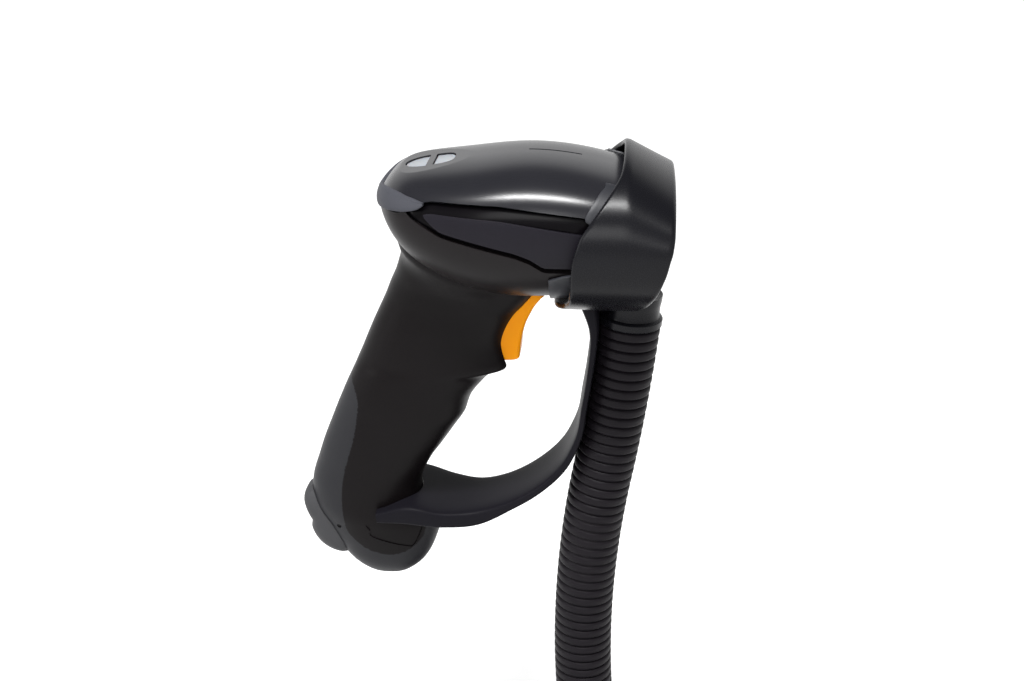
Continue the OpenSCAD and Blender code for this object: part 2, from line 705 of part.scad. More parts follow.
arm_line = [[0, -17.2, 3, 1.2], [0.3, -15, -2.5, 1.05], [0.6, -13.6, -8, 1], [1, -13, -14, 1],
            [2, -14, -27, 1], [3, -15.6, -39, 1], [3.6, -17.2, -50, 1.1], [4.2, -22.1, -61.7, 1.3],
            [5, -30.9, -71.5, 1.45], [6, -42.2, -78.7, 1.7], [7, -54, -83.1, 2.3], [8, -66, -83.3, 2.65],
            [9, -78, -81.7, 3.05], [10, -86.6, -82.9, 2.1], [11, -89.9, -83.3, 1.7]];
arm_spread = [[0, 0], [5, 0], [6, 0.25], [7, 0.7], [8, 0.95], [9, 1], [11, 1]];
arm_n = 3.4;
arm_cols = 20;
function arm_point(t) = [smooth(t, arm_line, 1), smooth(t, arm_line, 2)];
function arm_ring(t) =
    let (p = arm_point(t), q = arm_point(min(11, t + 0.05)), o = arm_point(max(0, t - 0.05)),
         v = (q - o) / norm(q - o), n = [-v[1], v[0]], h = arm_t / 2 * smooth(t, arm_line, 3),
         w = mix(arm_w, fork_w, straight(t, arm_spread)) / 2)
    [for (j = [0:arm_cols - 1])
        let (a = -360 * j / arm_cols, y = w * rounded_power(cos(a), arm_n),
             e = h * rounded_power(sin(a), arm_n))
        [p[0] + n[0] * e, y, p[1] + n[1] * e]];
arm_steps_at = [0, 0.3, 0.6, 1, 2, 2.5, 3, 3.3, 3.6, 3.9, 4.2, 4.6, 5, 5.5, 6, 6.5, 7, 7.5, 8, 8.5, 9, 9.5,
                10, 10.5, 11];

module collar() {
    rotate([0, route_end[2], 0]) translate([0, 0, -collar_len]) {
        cylinder(r = collar_r, h = collar_len + 5);
        cylinder(r = neck_d / 2 + 0.3, h = bead_h);
    }
}

// Room for the gooseneck in the back of the arm
neck_room_gap = 0.5;
module neck_room() {
    translate([-route_end[0], 0, -route_end[1]])
        loft([for (i = [0:9])
            ring_at(neck_length - collar_len + bead_h - core_step * (9 - i), neck_d / 2 + neck_room_gap)]);
}

module holder() {
    color(satin_black) seated() difference() {
        union() {
            skin(hood_rows(0, 5), hood_rows(-hood_wall, 5), true);
            difference() {
                union() {
                    collar();
                    difference() {
                        loft([for (t = arm_steps_at) arm_ring(t)]);
                        neck_room();
                    }
                }
                loft([for (x = [-30, 14]) [for (j = [0:23]) hood_point(x, 15 * j, 0.4 - hood_wall)]]);
            }
        }
        grip(0.5, -95, -60);
        rotate([0, route_end[2], 0]) translate([0, 0, -collar_len - 1]) rotate(90)
            cylinder(d = neck_core_d + 2 * seat, h = collar_len + 2 * seat);
        at_collar_screw() translate([0, 0, -2]) cylinder(d = set_screw_d + 0.1, h = 10);
    }
}

set_screw_d = 3;
module at_collar_screw() {
    rotate([0, route_end[2], 0]) translate([neck_core_d / 2 + seat, 0, -3.4]) rotate([0, 90, 0]) children();
}

module collar_screw() {
    color(steel) seated() at_collar_screw() difference() {
        cylinder(d = set_screw_d, h = 2.6);
        translate([0, 0, 1.2]) cylinder(d = 1.5, h = 3);
    }
}

// Gooseneck

sleeve_seat = 5;
sleeve_from = boss_h - sleeve_seat - neck_start;
sleeve_to = neck_length - collar_len - seat;
rib_count = floor((sleeve_to - sleeve_from - 0.5) / rib_pitch);
core_step = 8;

module gooseneck_sleeve() {
    top = sleeve_to;
    crest = (rib_pitch - rib_gap) / 2;
    ribs = [for (i = [rib_count - 1:-1:0]) top - crest - i * rib_pitch];
    outer = [ring_at(sleeve_from, neck_root_d / 2),
             for (s = ribs) each [ring_at(s - crest, neck_d / 2), ring_at(s + crest, neck_d / 2),
                                  ring_at(s + rib_pitch / 2, neck_root_d / 2)]];
    rows = len(outer);
    bore = neck_core_d / 2 + 0.2;
    steps = ceil((top - sleeve_from) / core_step);
    color(satin_black) skin([for (i = [0:rows - 2]) outer[i]],
                            [for (i = [0:steps]) ring_at(mix(sleeve_from, top, i / steps), bore)], true);
}

module gooseneck_core() {
    top = neck_length - 1;
    steps = ceil(top / core_step);
    color(steel) loft([for (i = [0:steps]) ring_at(top * i / steps, neck_core_d / 2)]);
}

// Base

weight_top = base_pad_t + weight_t;
cover_t = 2.5;
boss_r = neck_d / 2 + 4;
base_screw_r = base_d / 2 - 20;

module base_shell() {
    rotate_extrude($fn = 96) difference() {
        polygon([[0, base_pad_t], [base_d / 2, base_pad_t], [base_d / 2, base_edge - 2],
                 [base_d / 2 - 2, base_edge],
                 [base_d / 2 - 22, base_edge + 3.5], [boss_r + 8, base_edge + 6], [boss_r + 2, base_edge + 9],
                 [boss_r, base_edge + 14], [boss_r, boss_h - 1.5], [boss_r - 1.5, boss_h], [0, boss_h]]);
        square([base_d / 2 - cover_t, weight_top]);
        square([neck_d / 2 + seam, boss_h + 1]);
    }
}

module base_cover() {
    color(satin_black) difference() {
        base_shell();
        at_base_screws() translate([0, 0, weight_top - 1]) cylinder(d = 3.1, h = 4.2);
    }
}

// A cap screw with its head down, or with play the hole for it
module cap_screw(d, head_d, head_h, top, play = 0) {
    translate([0, 0, base_pad_t + 0.4 - play]) cylinder(d = head_d + 2 * play, h = head_h + play);
    translate([0, 0, base_pad_t + 0.4]) cylinder(d = d + play, h = top - base_pad_t - 0.4 + play);
}

module at_base_screws() {
    for (a = [60:120:300]) rotate(a) translate([base_screw_r, 0, 0]) children();
}

module base_weight() {
    color(steel) difference() {
        translate([0, 0, base_pad_t]) cylinder(d = base_d - 2 * cover_t - 1, h = weight_t, $fn = 96);
        at_base_screws() cap_screw(3, 6, 2, weight_top + 2, 0.4);
        cap_screw(5, 9, 3, weight_top + 2, 0.4);
    }
}

module neck_socket() {
    color(steel) difference() {
        translate([0, 0, weight_top]) cylinder(r = neck_d / 2, h = boss_h - sleeve_seat - weight_top - seat);
        translate([0, 0, neck_start]) cylinder(d = neck_core_d + 0.1, h = boss_h);
        translate([0, 0, weight_top - 1]) cylinder(d = 5.1, h = socket_floor);
    }
}

module socket_screw() {
    color(steel) cap_screw(5, 9, 3, neck_start - 1.2);
}

module base_screws() {
    color(steel) at_base_screws() cap_screw(3, 6, 2, weight_top + 3);
}

module base_pad() {
    color([0.07, 0.07, 0.07]) cylinder(d = base_d - 6, h = base_pad_t, $fn = 96);
}

top_cover();
main_body();
battery_cover();
rear_bumper();
side_trim_right();
side_trim_left();
side_insert_right();
side_insert_left();
nose_boot();
scan_window();
indicator_lens_rear();
indicator_lens_front();
trigger();
trigger_pin();
trigger_spring();
trigger_switch();
trigger_board();
main_board();
board_screws();
scan_engine();
engine_bracket();
bracket_screws();
buzzer();
battery_cell();
battery_contact();
end_pad();
cover_screw();
holder();
collar_screw();
gooseneck_sleeve();
gooseneck_core();
base_cover();
base_weight();
neck_socket();
socket_screw();
base_screws();
base_pad();
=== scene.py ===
# Barcode scanner in its gooseneck stand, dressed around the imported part
from math import asin, copysign, cos, degrees, exp, hypot, pi, radians, sin, sqrt, tan

import bmesh
import bpy
import numpy as np
from mathutils import Matrix, Vector


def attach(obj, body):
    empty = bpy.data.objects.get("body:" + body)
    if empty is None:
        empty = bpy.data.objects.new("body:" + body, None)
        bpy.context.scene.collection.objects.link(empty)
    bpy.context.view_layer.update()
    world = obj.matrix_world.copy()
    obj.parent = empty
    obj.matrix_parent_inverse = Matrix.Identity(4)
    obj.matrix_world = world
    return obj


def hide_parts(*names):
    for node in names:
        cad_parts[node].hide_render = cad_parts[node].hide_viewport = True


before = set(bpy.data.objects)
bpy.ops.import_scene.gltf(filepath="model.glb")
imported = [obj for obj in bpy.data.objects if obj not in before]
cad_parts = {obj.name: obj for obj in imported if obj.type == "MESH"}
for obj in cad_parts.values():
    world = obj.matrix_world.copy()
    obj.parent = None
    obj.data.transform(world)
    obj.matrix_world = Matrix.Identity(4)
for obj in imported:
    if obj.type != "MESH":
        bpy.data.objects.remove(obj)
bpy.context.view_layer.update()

mm = 0.001
merge = 1e-6  # metres: corners closer than this are one
print("frame loaded:", len(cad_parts), "nodes")


# Curves through points
def straightAt(t, table, column=1):
    return float(np.interp(t, [row[0] for row in table], [row[column] for row in table]))


def softAt(t, table, spread, column=1):  # the same, with its corners rounded off
    return sum(straightAt(t + spread * k / 3, table, column) for k in range(-3, 4)) / 7


def smoothAt(t, table, column=1):
    t = min(max(t, table[0][0]), table[-1][0])
    i = next((k for k in range(len(table) - 1) if t <= table[k + 1][0]), len(table) - 2)

    def slope(k):
        a, b = table[max(0, k - 1)], table[min(len(table) - 1, k + 1)]
        return (b[column] - a[column]) / (b[0] - a[0])

    width = table[i + 1][0] - table[i][0]
    u = (t - table[i][0]) / width
    return ((2 * u**3 - 3 * u**2 + 1) * table[i][column] + (u**3 - 2 * u**2 + u) * width * slope(i)
            + (3 * u**2 - 2 * u**3) * table[i + 1][column] + (u**3 - u**2) * width * slope(i + 1))


def splineThrough(table, column, warp):  # one curve without breaks in its bend, so that highlights run clean
    x = np.array([warp(row[0]) for row in table])
    y = np.array([row[column] for row in table])
    n, h = len(x), np.diff(x)
    system, right = np.eye(n), np.zeros(n)
    for i in range(1, n - 1):
        system[i, i - 1:i + 2] = h[i - 1], 2 * (h[i - 1] + h[i]), h[i]
        right[i] = 6 * ((y[i + 1] - y[i]) / h[i] - (y[i] - y[i - 1]) / h[i - 1])
    bend = np.linalg.solve(system, right)

    def at(t):
        t = warp(t)
        i = int(np.clip(np.searchsorted(x, t) - 1, 0, n - 2))
        a, b = x[i + 1] - t, t - x[i]
        return float((bend[i] * a**3 + bend[i + 1] * b**3) / (6 * h[i]) + (y[i] / h[i] - bend[i] * h[i] / 6) * a
                     + (y[i + 1] / h[i] - bend[i + 1] * h[i] / 6) * b)

    return at


def roundedPower(value, n):
    return copysign(abs(value) ** (2 / n), value)


def mix(a, b, t):
    return a + (b - a) * t


# Route of the gooseneck, whose top carries the scanner
neck = {
    "ribDiameter": 22, "rootDiameter": 19.6, "pitch": 3.65, "start": 15.5, "straight": 29.5,
    "arcs": [(30, -4), (96, 13.5), (70, -5)],  # length and turn in degrees
    "from": 26, "collarLength": 9.6, "collarGap": 0.15, "steps": 240, "rowsPerRib": 10, "columns": 56,
    "crestPower": 5,
}


def alongArc(start, length, turn, turned):  # where an arc is after so many of its degrees
    x, z, heading = start
    radius = length / radians(turn)
    a, b = radians(heading), radians(heading + turned)
    return x + radius * (cos(a) - cos(b)), z + radius * (sin(b) - sin(a)), heading + turned


def routeSteps():
    steps = [(0.0, neck["start"] + neck["straight"], 0.0)]
    for length, turn in neck["arcs"]:
        steps.append(alongArc(steps[-1], length, turn, turn))
    return steps


routeArcs = routeSteps()
routeEnd = routeArcs[-1]
neckLength = neck["straight"] + sum(arc[0] for arc in neck["arcs"])


def routeAt(s):
    if s <= neck["straight"]:
        return 0.0, neck["start"] + s, 0.0
    s -= neck["straight"]
    for i, (length, turn) in enumerate(neck["arcs"]):
        if s <= length or i == len(neck["arcs"]) - 1:
            return alongArc(routeArcs[i], length, turn, turn * s / length)
        s -= length


def seated(point):  # millimetres from the top of the route to metres in the object's frame
    return ((point[0] + routeEnd[0]) * mm, point[1] * mm, (point[2] + routeEnd[1]) * mm)


def leaning(place, angle):  # millimetres along a turned axis to metres in the object's frame
    turn = Matrix.Translation(seated(place)) @ Matrix.Rotation(radians(angle), 4, "Y")
    return lambda p: tuple(turn @ (Vector(p) * mm))


# Mesh tools
def linked(name, data):
    piece = bpy.data.objects.new(name, data)
    bpy.context.scene.collection.objects.link(piece)
    return piece


def addObject(name, points, faces, place=seated):
    mesh = bpy.data.meshes.new(name)
    mesh.from_pydata([place(p) for p in points], [], faces)
    mesh.update()
    piece = linked(name, mesh)
    turnOutwards(piece)
    return piece


def turnOutwards(piece):
    shape = bmesh.new()
    shape.from_mesh(piece.data)
    bmesh.ops.remove_doubles(shape, verts=shape.verts, dist=merge)
    bmesh.ops.dissolve_degenerate(shape, edges=shape.edges, dist=merge)
    bmesh.ops.recalc_face_normals(shape, faces=shape.faces)
    if shape.calc_volume(signed=True) < 0:
        bmesh.ops.reverse_faces(shape, faces=shape.faces)
    shape.to_mesh(piece.data)
    shape.free()


def gridFaces(rows, cols, start, wrap, flip):
    faces = []
    for i in range(rows - 1):
        for j in range(cols if wrap else cols - 1):
            k = (j + 1) % cols
            here, above = start + i * cols, start + (i + 1) * cols
            face = [here + j, here + k, above + k, above + j]
            faces.append(face if flip else face[::-1])
    return faces


def shell(name, outer, inner, wrap=False):  # a wall between two grids of the same size
    rows, cols = len(outer), len(outer[0])
    n = rows * cols
    points = [p for grid in (outer, inner) for row in grid for p in row]
    faces = gridFaces(rows, cols, 0, wrap, False) + gridFaces(rows, cols, n, wrap, True)
    for j in range(cols if wrap else cols - 1):
        k = (j + 1) % cols
        last = (rows - 1) * cols
        faces += [[j, k, n + k, n + j], [last + k, last + j, n + last + j, n + last + k]]
    if not wrap:
        for i in range(rows - 1):
            a, b = i * cols, (i + 1) * cols
            faces += [[b, a, n + a, n + b], [a + cols - 1, b + cols - 1, n + b + cols - 1, n + a + cols - 1]]
    return addObject(name, points, faces)


def wrapped(point, angles, ends, rows, depths):  # a grid between the two ends that each angle has
    return [[point(mix(low, high, i / rows), a, depths[i]) for a, (low, high) in zip(angles, ends)]
            for i in range(rows + 1)]


def loft(name, rings, place=seated):
    rows, cols = len(rings), len(rings[0])
    faces = gridFaces(rows, cols, 0, True, False)
    faces += [list(range(cols)), [(rows - 1) * cols + j for j in range(cols)][::-1]]
    return addObject(name, [p for ring in rings for p in ring], faces, place)


def prismFaces(n):  # two ends of n corners and the sides between them
    sides = [[j, (j + 1) % n, n + (j + 1) % n, n + j] for j in range(n)]
    return [list(range(n)), list(range(n, 2 * n))[::-1]] + sides


def prism(name, outline, half, place=seated):  # an outline in x and z, drawn out across y
    points = [(x, -half, z) for x, z in outline] + [(x, half, z) for x, z in outline]
    return addObject(name, points, prismFaces(len(outline)), place)


def across(name, outline, low, high):  # the same between two places across y
    return prism(name, outline, 1, lambda p: seated((p[0], mix(low, high, (p[1] + 1) / 2), p[2])))


def box(name, low, high):
    outline = [(low[0], low[2]), (high[0], low[2]), (high[0], high[2]), (low[0], high[2])]
    return across(name, outline, low[1], high[1])


def around(count):  # equal steps of a full turn, in degrees
    return [360 * k / count for k in range(count)]


def circleAt(x, z, radius, count):
    return [(x + radius * cos(radians(a)), z + radius * sin(radians(a))) for a in around(count)]


def lathe(name, profile, steps, place=seated):  # a closed outline of radius and height, turned about z
    n = len(profile)
    points = [(r * cos(2 * pi * k / steps), r * sin(2 * pi * k / steps), z)
              for k in range(steps) for r, z in profile]
    faces = [[k * n + j, k * n + (j + 1) % n, (k + 1) % steps * n + (j + 1) % n, (k + 1) % steps * n + j]
             for k in range(steps) for j in range(n)]
    return addObject(name, points, faces, place)


def settle(piece):  # modifiers into the mesh
    graph = bpy.context.evaluated_depsgraph_get()
    graph.update()
    mesh = bpy.data.meshes.new_from_object(piece.evaluated_get(graph))
    piece.modifiers.clear()
    piece.data = mesh


def combine(piece, other, way="DIFFERENCE"):
    step = piece.modifiers.new(way.lower(), "BOOLEAN")
    step.object, step.operation, step.solver = other, way, "EXACT"
    settle(piece)
    bpy.data.objects.remove(other)


def bevel(piece, width, segments=2, angle=60):
    step = piece.modifiers.new("bevel", "BEVEL")
    step.width, step.segments = width * mm, segments
    step.limit_method, step.angle_limit = "ANGLE", radians(angle)
    step.use_clamp_overlap = True
    settle(piece)


def smoothLoop(points, steps=4, closed=True):  # a rounder outline through the same points
    n, result = len(points), []
    for i in range(n if closed else n - 1):
        a, b, c, d = (points[(i + k) % n] if closed else points[min(max(i + k, 0), n - 1)] for k in (-1, 0, 1, 2))
        for s in range(steps):
            u = s / steps
            result.append(tuple(0.5 * (2 * q + (r - p) * u + (2 * p - 5 * q + 4 * r - t) * u**2
                                       + (3 * q - p - 3 * r + t) * u**3) for p, q, r, t in zip(a, b, c, d)))
    return result if closed else result + [points[-1]]


def markFaces(piece, index):  # which of two finishes its faces take, kept through the cuts
    piece.data.materials.clear()
    for _ in range(2):
        piece.data.materials.append(None)
    piece.data.polygons.foreach_set("material_index", [index] * len(piece.data.polygons))
    return piece


def finishPiece(piece, material, nodes, sharpFrom=35, second=None, body="scanner_and_stand"):
    shape = bmesh.new()
    shape.from_mesh(piece.data)
    bmesh.ops.remove_doubles(shape, verts=shape.verts, dist=2 * merge)
    shape.to_mesh(piece.data)
    shape.free()
    mesh = piece.data
    marks = [face.material_index if second else 0 for face in mesh.polygons]
    mesh.materials.clear()
    mesh.materials.append(material)
    if second:
        mesh.materials.append(second)
    mesh.polygons.foreach_set("material_index", marks)
    mesh.polygons.foreach_set("use_smooth", [True] * len(mesh.polygons))
    mesh.set_sharp_from_angle(angle=radians(sharpFrom))
    mesh.update()
    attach(piece, body)
    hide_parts(*nodes)


# Materials
def fromHex(code):
    values = [int(code[i:i + 2], 16) / 255 for i in (1, 3, 5)]
    return tuple(v / 12.92 if v <= 0.04045 else ((v + 0.055) / 1.055) ** 2.4 for v in values) + (1.0,)


def freshTree(owner):
    owner.use_nodes = True
    owner.node_tree.nodes.clear()
    return owner.node_tree


def addNode(tree, kind, inputs=None, settings=None):  # an input takes a value or another node's output
    node = tree.nodes.new(kind)
    for key, value in (settings or {}).items():
        setattr(node, key, value)
    for key, value in (inputs or {}).items():
        if isinstance(value, bpy.types.NodeSocket):
            tree.links.new(value, node.inputs[key])
        else:
            node.inputs[key].default_value = value
    return node


def calc(tree, operation, *values):
    return addNode(tree, "ShaderNodeMath", dict(enumerate(values)), {"operation": operation}).outputs[0]


surface = {"cloud": 14.0, "cloudDetail": 3.0, "gritDetail": 2.0, "gritRoughness": 0.6, "roughnessSpread": 0.05}


def moulded(name, tone, shade, roughness, grain, depth, level=0.5, values=None, spread=surface["roughnessSpread"]):
    material = bpy.data.materials.new(name)
    tree = freshTree(material)
    place = addNode(tree, "ShaderNodeTexCoord").outputs["Object"]
    drift = addNode(tree, "ShaderNodeTexNoise",
                    {"Vector": place, "Scale": 1 / (surface["cloud"] * mm), "Detail": surface["cloudDetail"]})
    # Inputs 6 and 7 of this node are colours, and output 2 is their mix
    colour = addNode(tree, "ShaderNodeMix", {"Factor": drift.outputs["Fac"], 6: fromHex(tone), 7: fromHex(shade)},
                     {"data_type": "RGBA"})
    grit = addNode(tree, "ShaderNodeTexNoise",
                   {"Vector": place, "Scale": 1 / (grain * mm), "Detail": surface["gritDetail"],
                    "Roughness": surface["gritRoughness"]})
    shine = addNode(tree, "ShaderNodeMapRange",
                    {"Value": grit.outputs["Fac"], "To Min": roughness - spread, "To Max": roughness + spread})
    relief = addNode(tree, "ShaderNodeBump", {"Height": grit.outputs["Fac"], "Strength": 1.0, "Distance": depth * mm})
    shader = addNode(tree, "ShaderNodeBsdfPrincipled",
                     {"Base Color": colour.outputs[2], "Roughness": shine.outputs[0], "Normal": relief.outputs[0],
                      "Specular IOR Level": level, **(values or {})})
    addNode(tree, "ShaderNodeOutputMaterial", {"Surface": shader.outputs[0]})
    return material


# After the two tones: roughness, grain and its depth in millimetres, and the level of the sheen
# Satin ABS, spark-eroded tool: soft wide highlights over a charcoal ground
satinCharcoal = moulded("satinAbsCharcoal", "#1b1b1f", "#1f1f23", 0.235, 0.35, 0.008, 0.3)
# The same plastic in the hood's bluer black, with a fainter sheen
satinHood = moulded("satinAbsHood", "#0e0e11", "#111115", 0.27, 0.35, 0.010, 0.14)
# The arm of the same moulding, rougher and with its sheen turned down as painted shade: it keeps the loop under the
# head dark
shadedArmPlastic = moulded("shadedAbsArm", "#121116", "#16151a", 0.45, 0.5, 0.02, 0.06)
# Textured grip plastic: brown black and dull, so that the handle stays quiet
gripPlastic = moulded("texturedAbsGrip", "#0c090a", "#0f0c0d", 0.38, 0.5, 0.02, 0.08)
# Belly of the same moulding with a finer grain, and a lighter tone and more sheen as painted light: it takes a faint
# sheen under the head
litBellyPlastic = moulded("litAbsBelly", "#141112", "#181516", 0.38, 0.35, 0.012, 0.13)
# Matt grey moulding of the battery cover
coverPlastic = moulded("mattAbsBatteryCover", "#212124", "#252528", 0.45, 0.45, 0.02, 0.13)
# The pad at its end: the same plastic off a rougher tool, a shade lighter
padPlastic = moulded("roughAbsPad", "#3b3b3d", "#404042", 0.55, 0.45, 0.03, 0.15)
# Polished strips: deep black with sharp reflections
glossPlastic = moulded("polishedAbsStrip", "#070608", "#0a080b", 0.2, 0.8, 0.002, 0.07, spread=0.03)
# Blades beside the strips: matt blue grey
bladePlastic = moulded("mattAbsBlade", "#151319", "#19171e", 0.42, 0.4, 0.012, 0.13)
# Overmoulded rubber: soft mid grey with almost no highlight
rubber = moulded("overmouldedRubber", "#393a40", "#3e3f45", 0.6, 0.4, 0.02, 0.2)
# Boot round the nose: the same rubber, darkened as painted shade for the shade under the belly
shadedBootRubber = moulded("shadedRubberBoot", "#1f2025", "#232429", 0.45, 0.4, 0.015, 0.35)
# Orange trigger: saturated satin plastic that glows a little at its edges
triggerPlastic = moulded("satinAbsTrigger", "#ff9c00", "#ffa202", 0.34, 0.4, 0.008, 0.12,
                         {"Subsurface Weight": 0.08, "Subsurface Radius": (0.004, 0.002, 0.0005)})
# Frosted windows: milky polycarbonate
frosted = moulded("frostedPolycarbonate", "#8d8d91", "#9b9b9f", 0.5, 0.5, 0.01, values={"Subsurface Weight": 0.1})
# Soft PVC over the gooseneck: near black and dull
neckVinyl = moulded("softPvcSleeve", "#120f13", "#161317", 0.5, 0.5, 0.02, 0.1)
# Powder coat on the base: fine orange peel
powderCoat = moulded("powderCoatedBase", "#1d1d20", "#222225", 0.48, 0.9, 0.03, 0.3)
# Turned and zinc plated steel: bright, cool and finely uneven
zincSteel = moulded("zincPlatedSteel", "#b9bbc0", "#c6c8cc", 0.3, 0.6, 0.004, values={"Metallic": 1.0})
# Blackened screw: a dark dot in the cover
blackSteel = moulded("blackOxideSteel", "#08080a", "#0d0d0f", 0.5, 0.4, 0.004, 0.2)
# Fibreglass board with green solder mask
boardMask = moulded("solderMaskBoard", "#0d4a2a", "#115532", 0.3, 0.6, 0.004)
# Black electronic parts
chipPlastic = moulded("epoxyParts", "#17171a", "#1c1c20", 0.45, 0.4, 0.01)
# Shrink sleeve of the battery cell
cellSleeve = moulded("shrinkSleeveCell", "#2f5ea8", "#3465b2", 0.35, 0.8, 0.006)
# Dark red scan window
scanGlass = moulded("redAcrylicWindow", "#2a0508", "#30070b", 0.08, 0.9, 0.001)
# Foam rubber foot
footRubber = moulded("foamRubberFoot", "#111112", "#161617", 0.8, 0.6, 0.05)
print("materials made:", len(bpy.data.materials))

# Head of the scanner: its lines are shares of its length against shares of its height, and in form each place has
# its top, its belly and its half width
head = {
    "length": 90, "width": 66, "height": 51, "nose": 4, "wall": 2.2, "upperPower": 2.6, "lowerPower": 2.25,
    "tongueAt": (0.465, 1.003), "tongueTilt": 10, "seam": 0.3, "seat": 0.15, "rows": 84, "crowd": 1.7, "least": 0.05,
    "levelSpread": 0.06, "coverSpread": 0.03, "bellySpread": 0.008,
    "form": [(0, 0.715, 0.665, 0.06), (0.015, 0.775, 0.60, 0.34), (0.067, 0.872, 0.44, 0.67),
             (0.178, 0.928, 0.24, 0.88), (0.356, 0.968, 0.088, 0.985), (0.578, 1.005, 0.052, 1),
             (0.8, 0.96, 0.09, 0.965), (1, 0.87, 0.14, 0.89)],
    "level": [(0, 0.69), (0.3, 0.62), (1, 0.585)],
    "coverLine": [(0, 0.70), (0.13, 0.72), (0.212, 0.80), (0.48, 0.795), (0.77, 0.735), (1, 0.66)],
    "bellyLine": [(0, 0.69), (0.11, 0.71), (0.135, 0.735), (0.15, 0.70), (0.19, 0.655), (0.268, 0.584),
                  (0.53, 0.47), (0.584, 0.432), (0.634, 0.37), (1, 0.36)],
}
headStart = head["nose"] - head["length"]
tongueX = headStart + head["tongueAt"][0] * head["length"]
tongueZ = head["tongueAt"][1] * head["height"]
headCurves = [splineThrough(head["form"], column, lambda u: sqrt(max(u, 0))) for column in (1, 2, 3)]


def headU(x):
    return (x - headStart) / head["length"]


def headMid(x):
    return head["height"] * softAt(headU(x), head["level"], head["levelSpread"])


def headTop(x):
    return head["height"] * headCurves[0](headU(x))


def headLow(x):
    return head["height"] * headCurves[1](headU(x))


def headHalf(x):
    return head["width"] / 2 * headCurves[2](headU(x))


def tongue(x):
    return tongueZ - (tongueX - x) * tan(radians(head["tongueTilt"]))


def reach(x, up):
    return headTop(x) - headMid(x) if up else headMid(x) - headLow(x)


def power(up):
    return head["upperPower"] if up else head["lowerPower"]


def headPoint(x, angle, d):  # on the head's section at x, raised by d
    a = radians(angle)
    up = sin(a) > 0
    tall, half = max(head["least"], reach(x, up) + d), max(head["least"], headHalf(x) + d)
    z = headMid(x) + tall * roundedPower(sin(a), power(up))
    return x, -half * roundedPower(cos(a), power(up)), min(z, tongue(x) + d)


def headAngle(x, z):  # the angle at which headPoint has this height
    up = z > headMid(x)
    v = (z - headMid(x)) / reach(x, up)
    return degrees(copysign(asin(min(1, abs(v) ** (power(up) / 2))), v))


def halfAt(x, z):
    up = z > headMid(x)
    v = abs(z - headMid(x)) / reach(x, up)
    return headHalf(x) * max(0, 1 - v ** power(up)) ** (1 / power(up))


def coverZ(x):
    return head["height"] * softAt(headU(x), head["coverLine"], head["coverSpread"])


def bellyZ(x):
    return head["height"] * softAt(headU(x), head["bellyLine"], head["bellySpread"])


def rowsBetween(low, high, count, crowd=1.0):  # above 1 they crowd towards the low end
    return [headStart + head["length"] * mix(low, high, (i / count) ** crowd) for i in range(count + 1)]


def band(xs, fromAngle, toAngle, cols, d):
    return [[headPoint(x, mix(fromAngle(x), toAngle(x), j / cols), d) for j in range(cols + 1)] for x in xs]


# Top cover with its flat tongue, windows and sound slot
cover = {
    "edge": 0.3, "sideSteps": 24, "flatSteps": 14,
    "creaseLast": 88, "creaseFirst": 4, "beside": (0.4, 1.2, 2, 3),  # degrees, the last ones from the crease
    "slotStart": -36, "slotLength": 17.5, "slotWidth": 1.0, "slotHeights": (47, 60),
    "windows": (-78.0, -70.5, -67.9, -61.2), "windowHalf": 6.5, "windowGap": 0.2, "windowSunk": 0.5,
    "windowThickness": 1.2, "windowEdge": 0.25, "windowCut": (6, 3), "rearStep": 6,
    "frontSteps": 16, "frontEnd": 0.985, "frontPower": 3.4, "frontRound": 2.2,
}


def coverAngles(x):  # up the side to the crease, over the tongue and down the other side
    start = headAngle(x, coverZ(x) + head["seam"])
    crease = headAngle(x, tongue(x)) if tongue(x) < headTop(x) else cover["creaseLast"]
    crease = max(min(crease, cover["creaseLast"]), start + cover["creaseFirst"])
    near, sides, flats = cover["beside"], cover["sideSteps"], cover["flatSteps"]
    side = [mix(start, crease - near[3], j / sides) for j in range(sides + 1)]
    side += [crease - step for step in near[2::-1]] + [crease + step for step in near[:2]]
    flat = [mix(crease + near[2], 180 - near[2] - crease, j / flats) for j in range(flats + 1)]
    return side + flat + [180 - a for a in side[::-1]]


def onTongue(outline, depth, above):  # a drawing on the tongue, sunk below it and raised above it
    tilt = radians(head["tongueTilt"])
    points = []
    for z in (-depth, above):
        for x, y in outline:
            dx = x - tongueX
            points.append((tongueX + dx * cos(tilt) - z * sin(tilt), y, tongueZ + dx * sin(tilt) + z * cos(tilt)))
    return addObject("drawing", points, prismFaces(len(outline)))


def rearWindow(gap):  # half an ellipse, round towards the back
    x0, x1 = cover["windows"][0] - gap, cover["windows"][1] + gap
    half = cover["windowHalf"] + gap
    arc = [(x1 - gap - (x1 - gap - x0) * sin(radians(a)), half * cos(radians(a)))
           for a in range(0, 181, cover["rearStep"])]
    return arc + [(x1, -half), (x1, half)] if gap else arc


def frontWindow(gap):  # square at the back, bowed towards the front
    x0, x1 = cover["windows"][2] - gap, cover["windows"][3] + gap
    half, n, end = cover["windowHalf"] + gap, cover["frontSteps"], cover["frontEnd"]
    bow = [(x0 + (x1 - x0) * (1 - abs(t) ** cover["frontPower"]) ** (1 / cover["frontRound"]), half * t)
           for t in [k / n for k in range(n - 1, -n, -1)]]
    return [(x0, half * end)] + bow + [(x0, -half * end)]


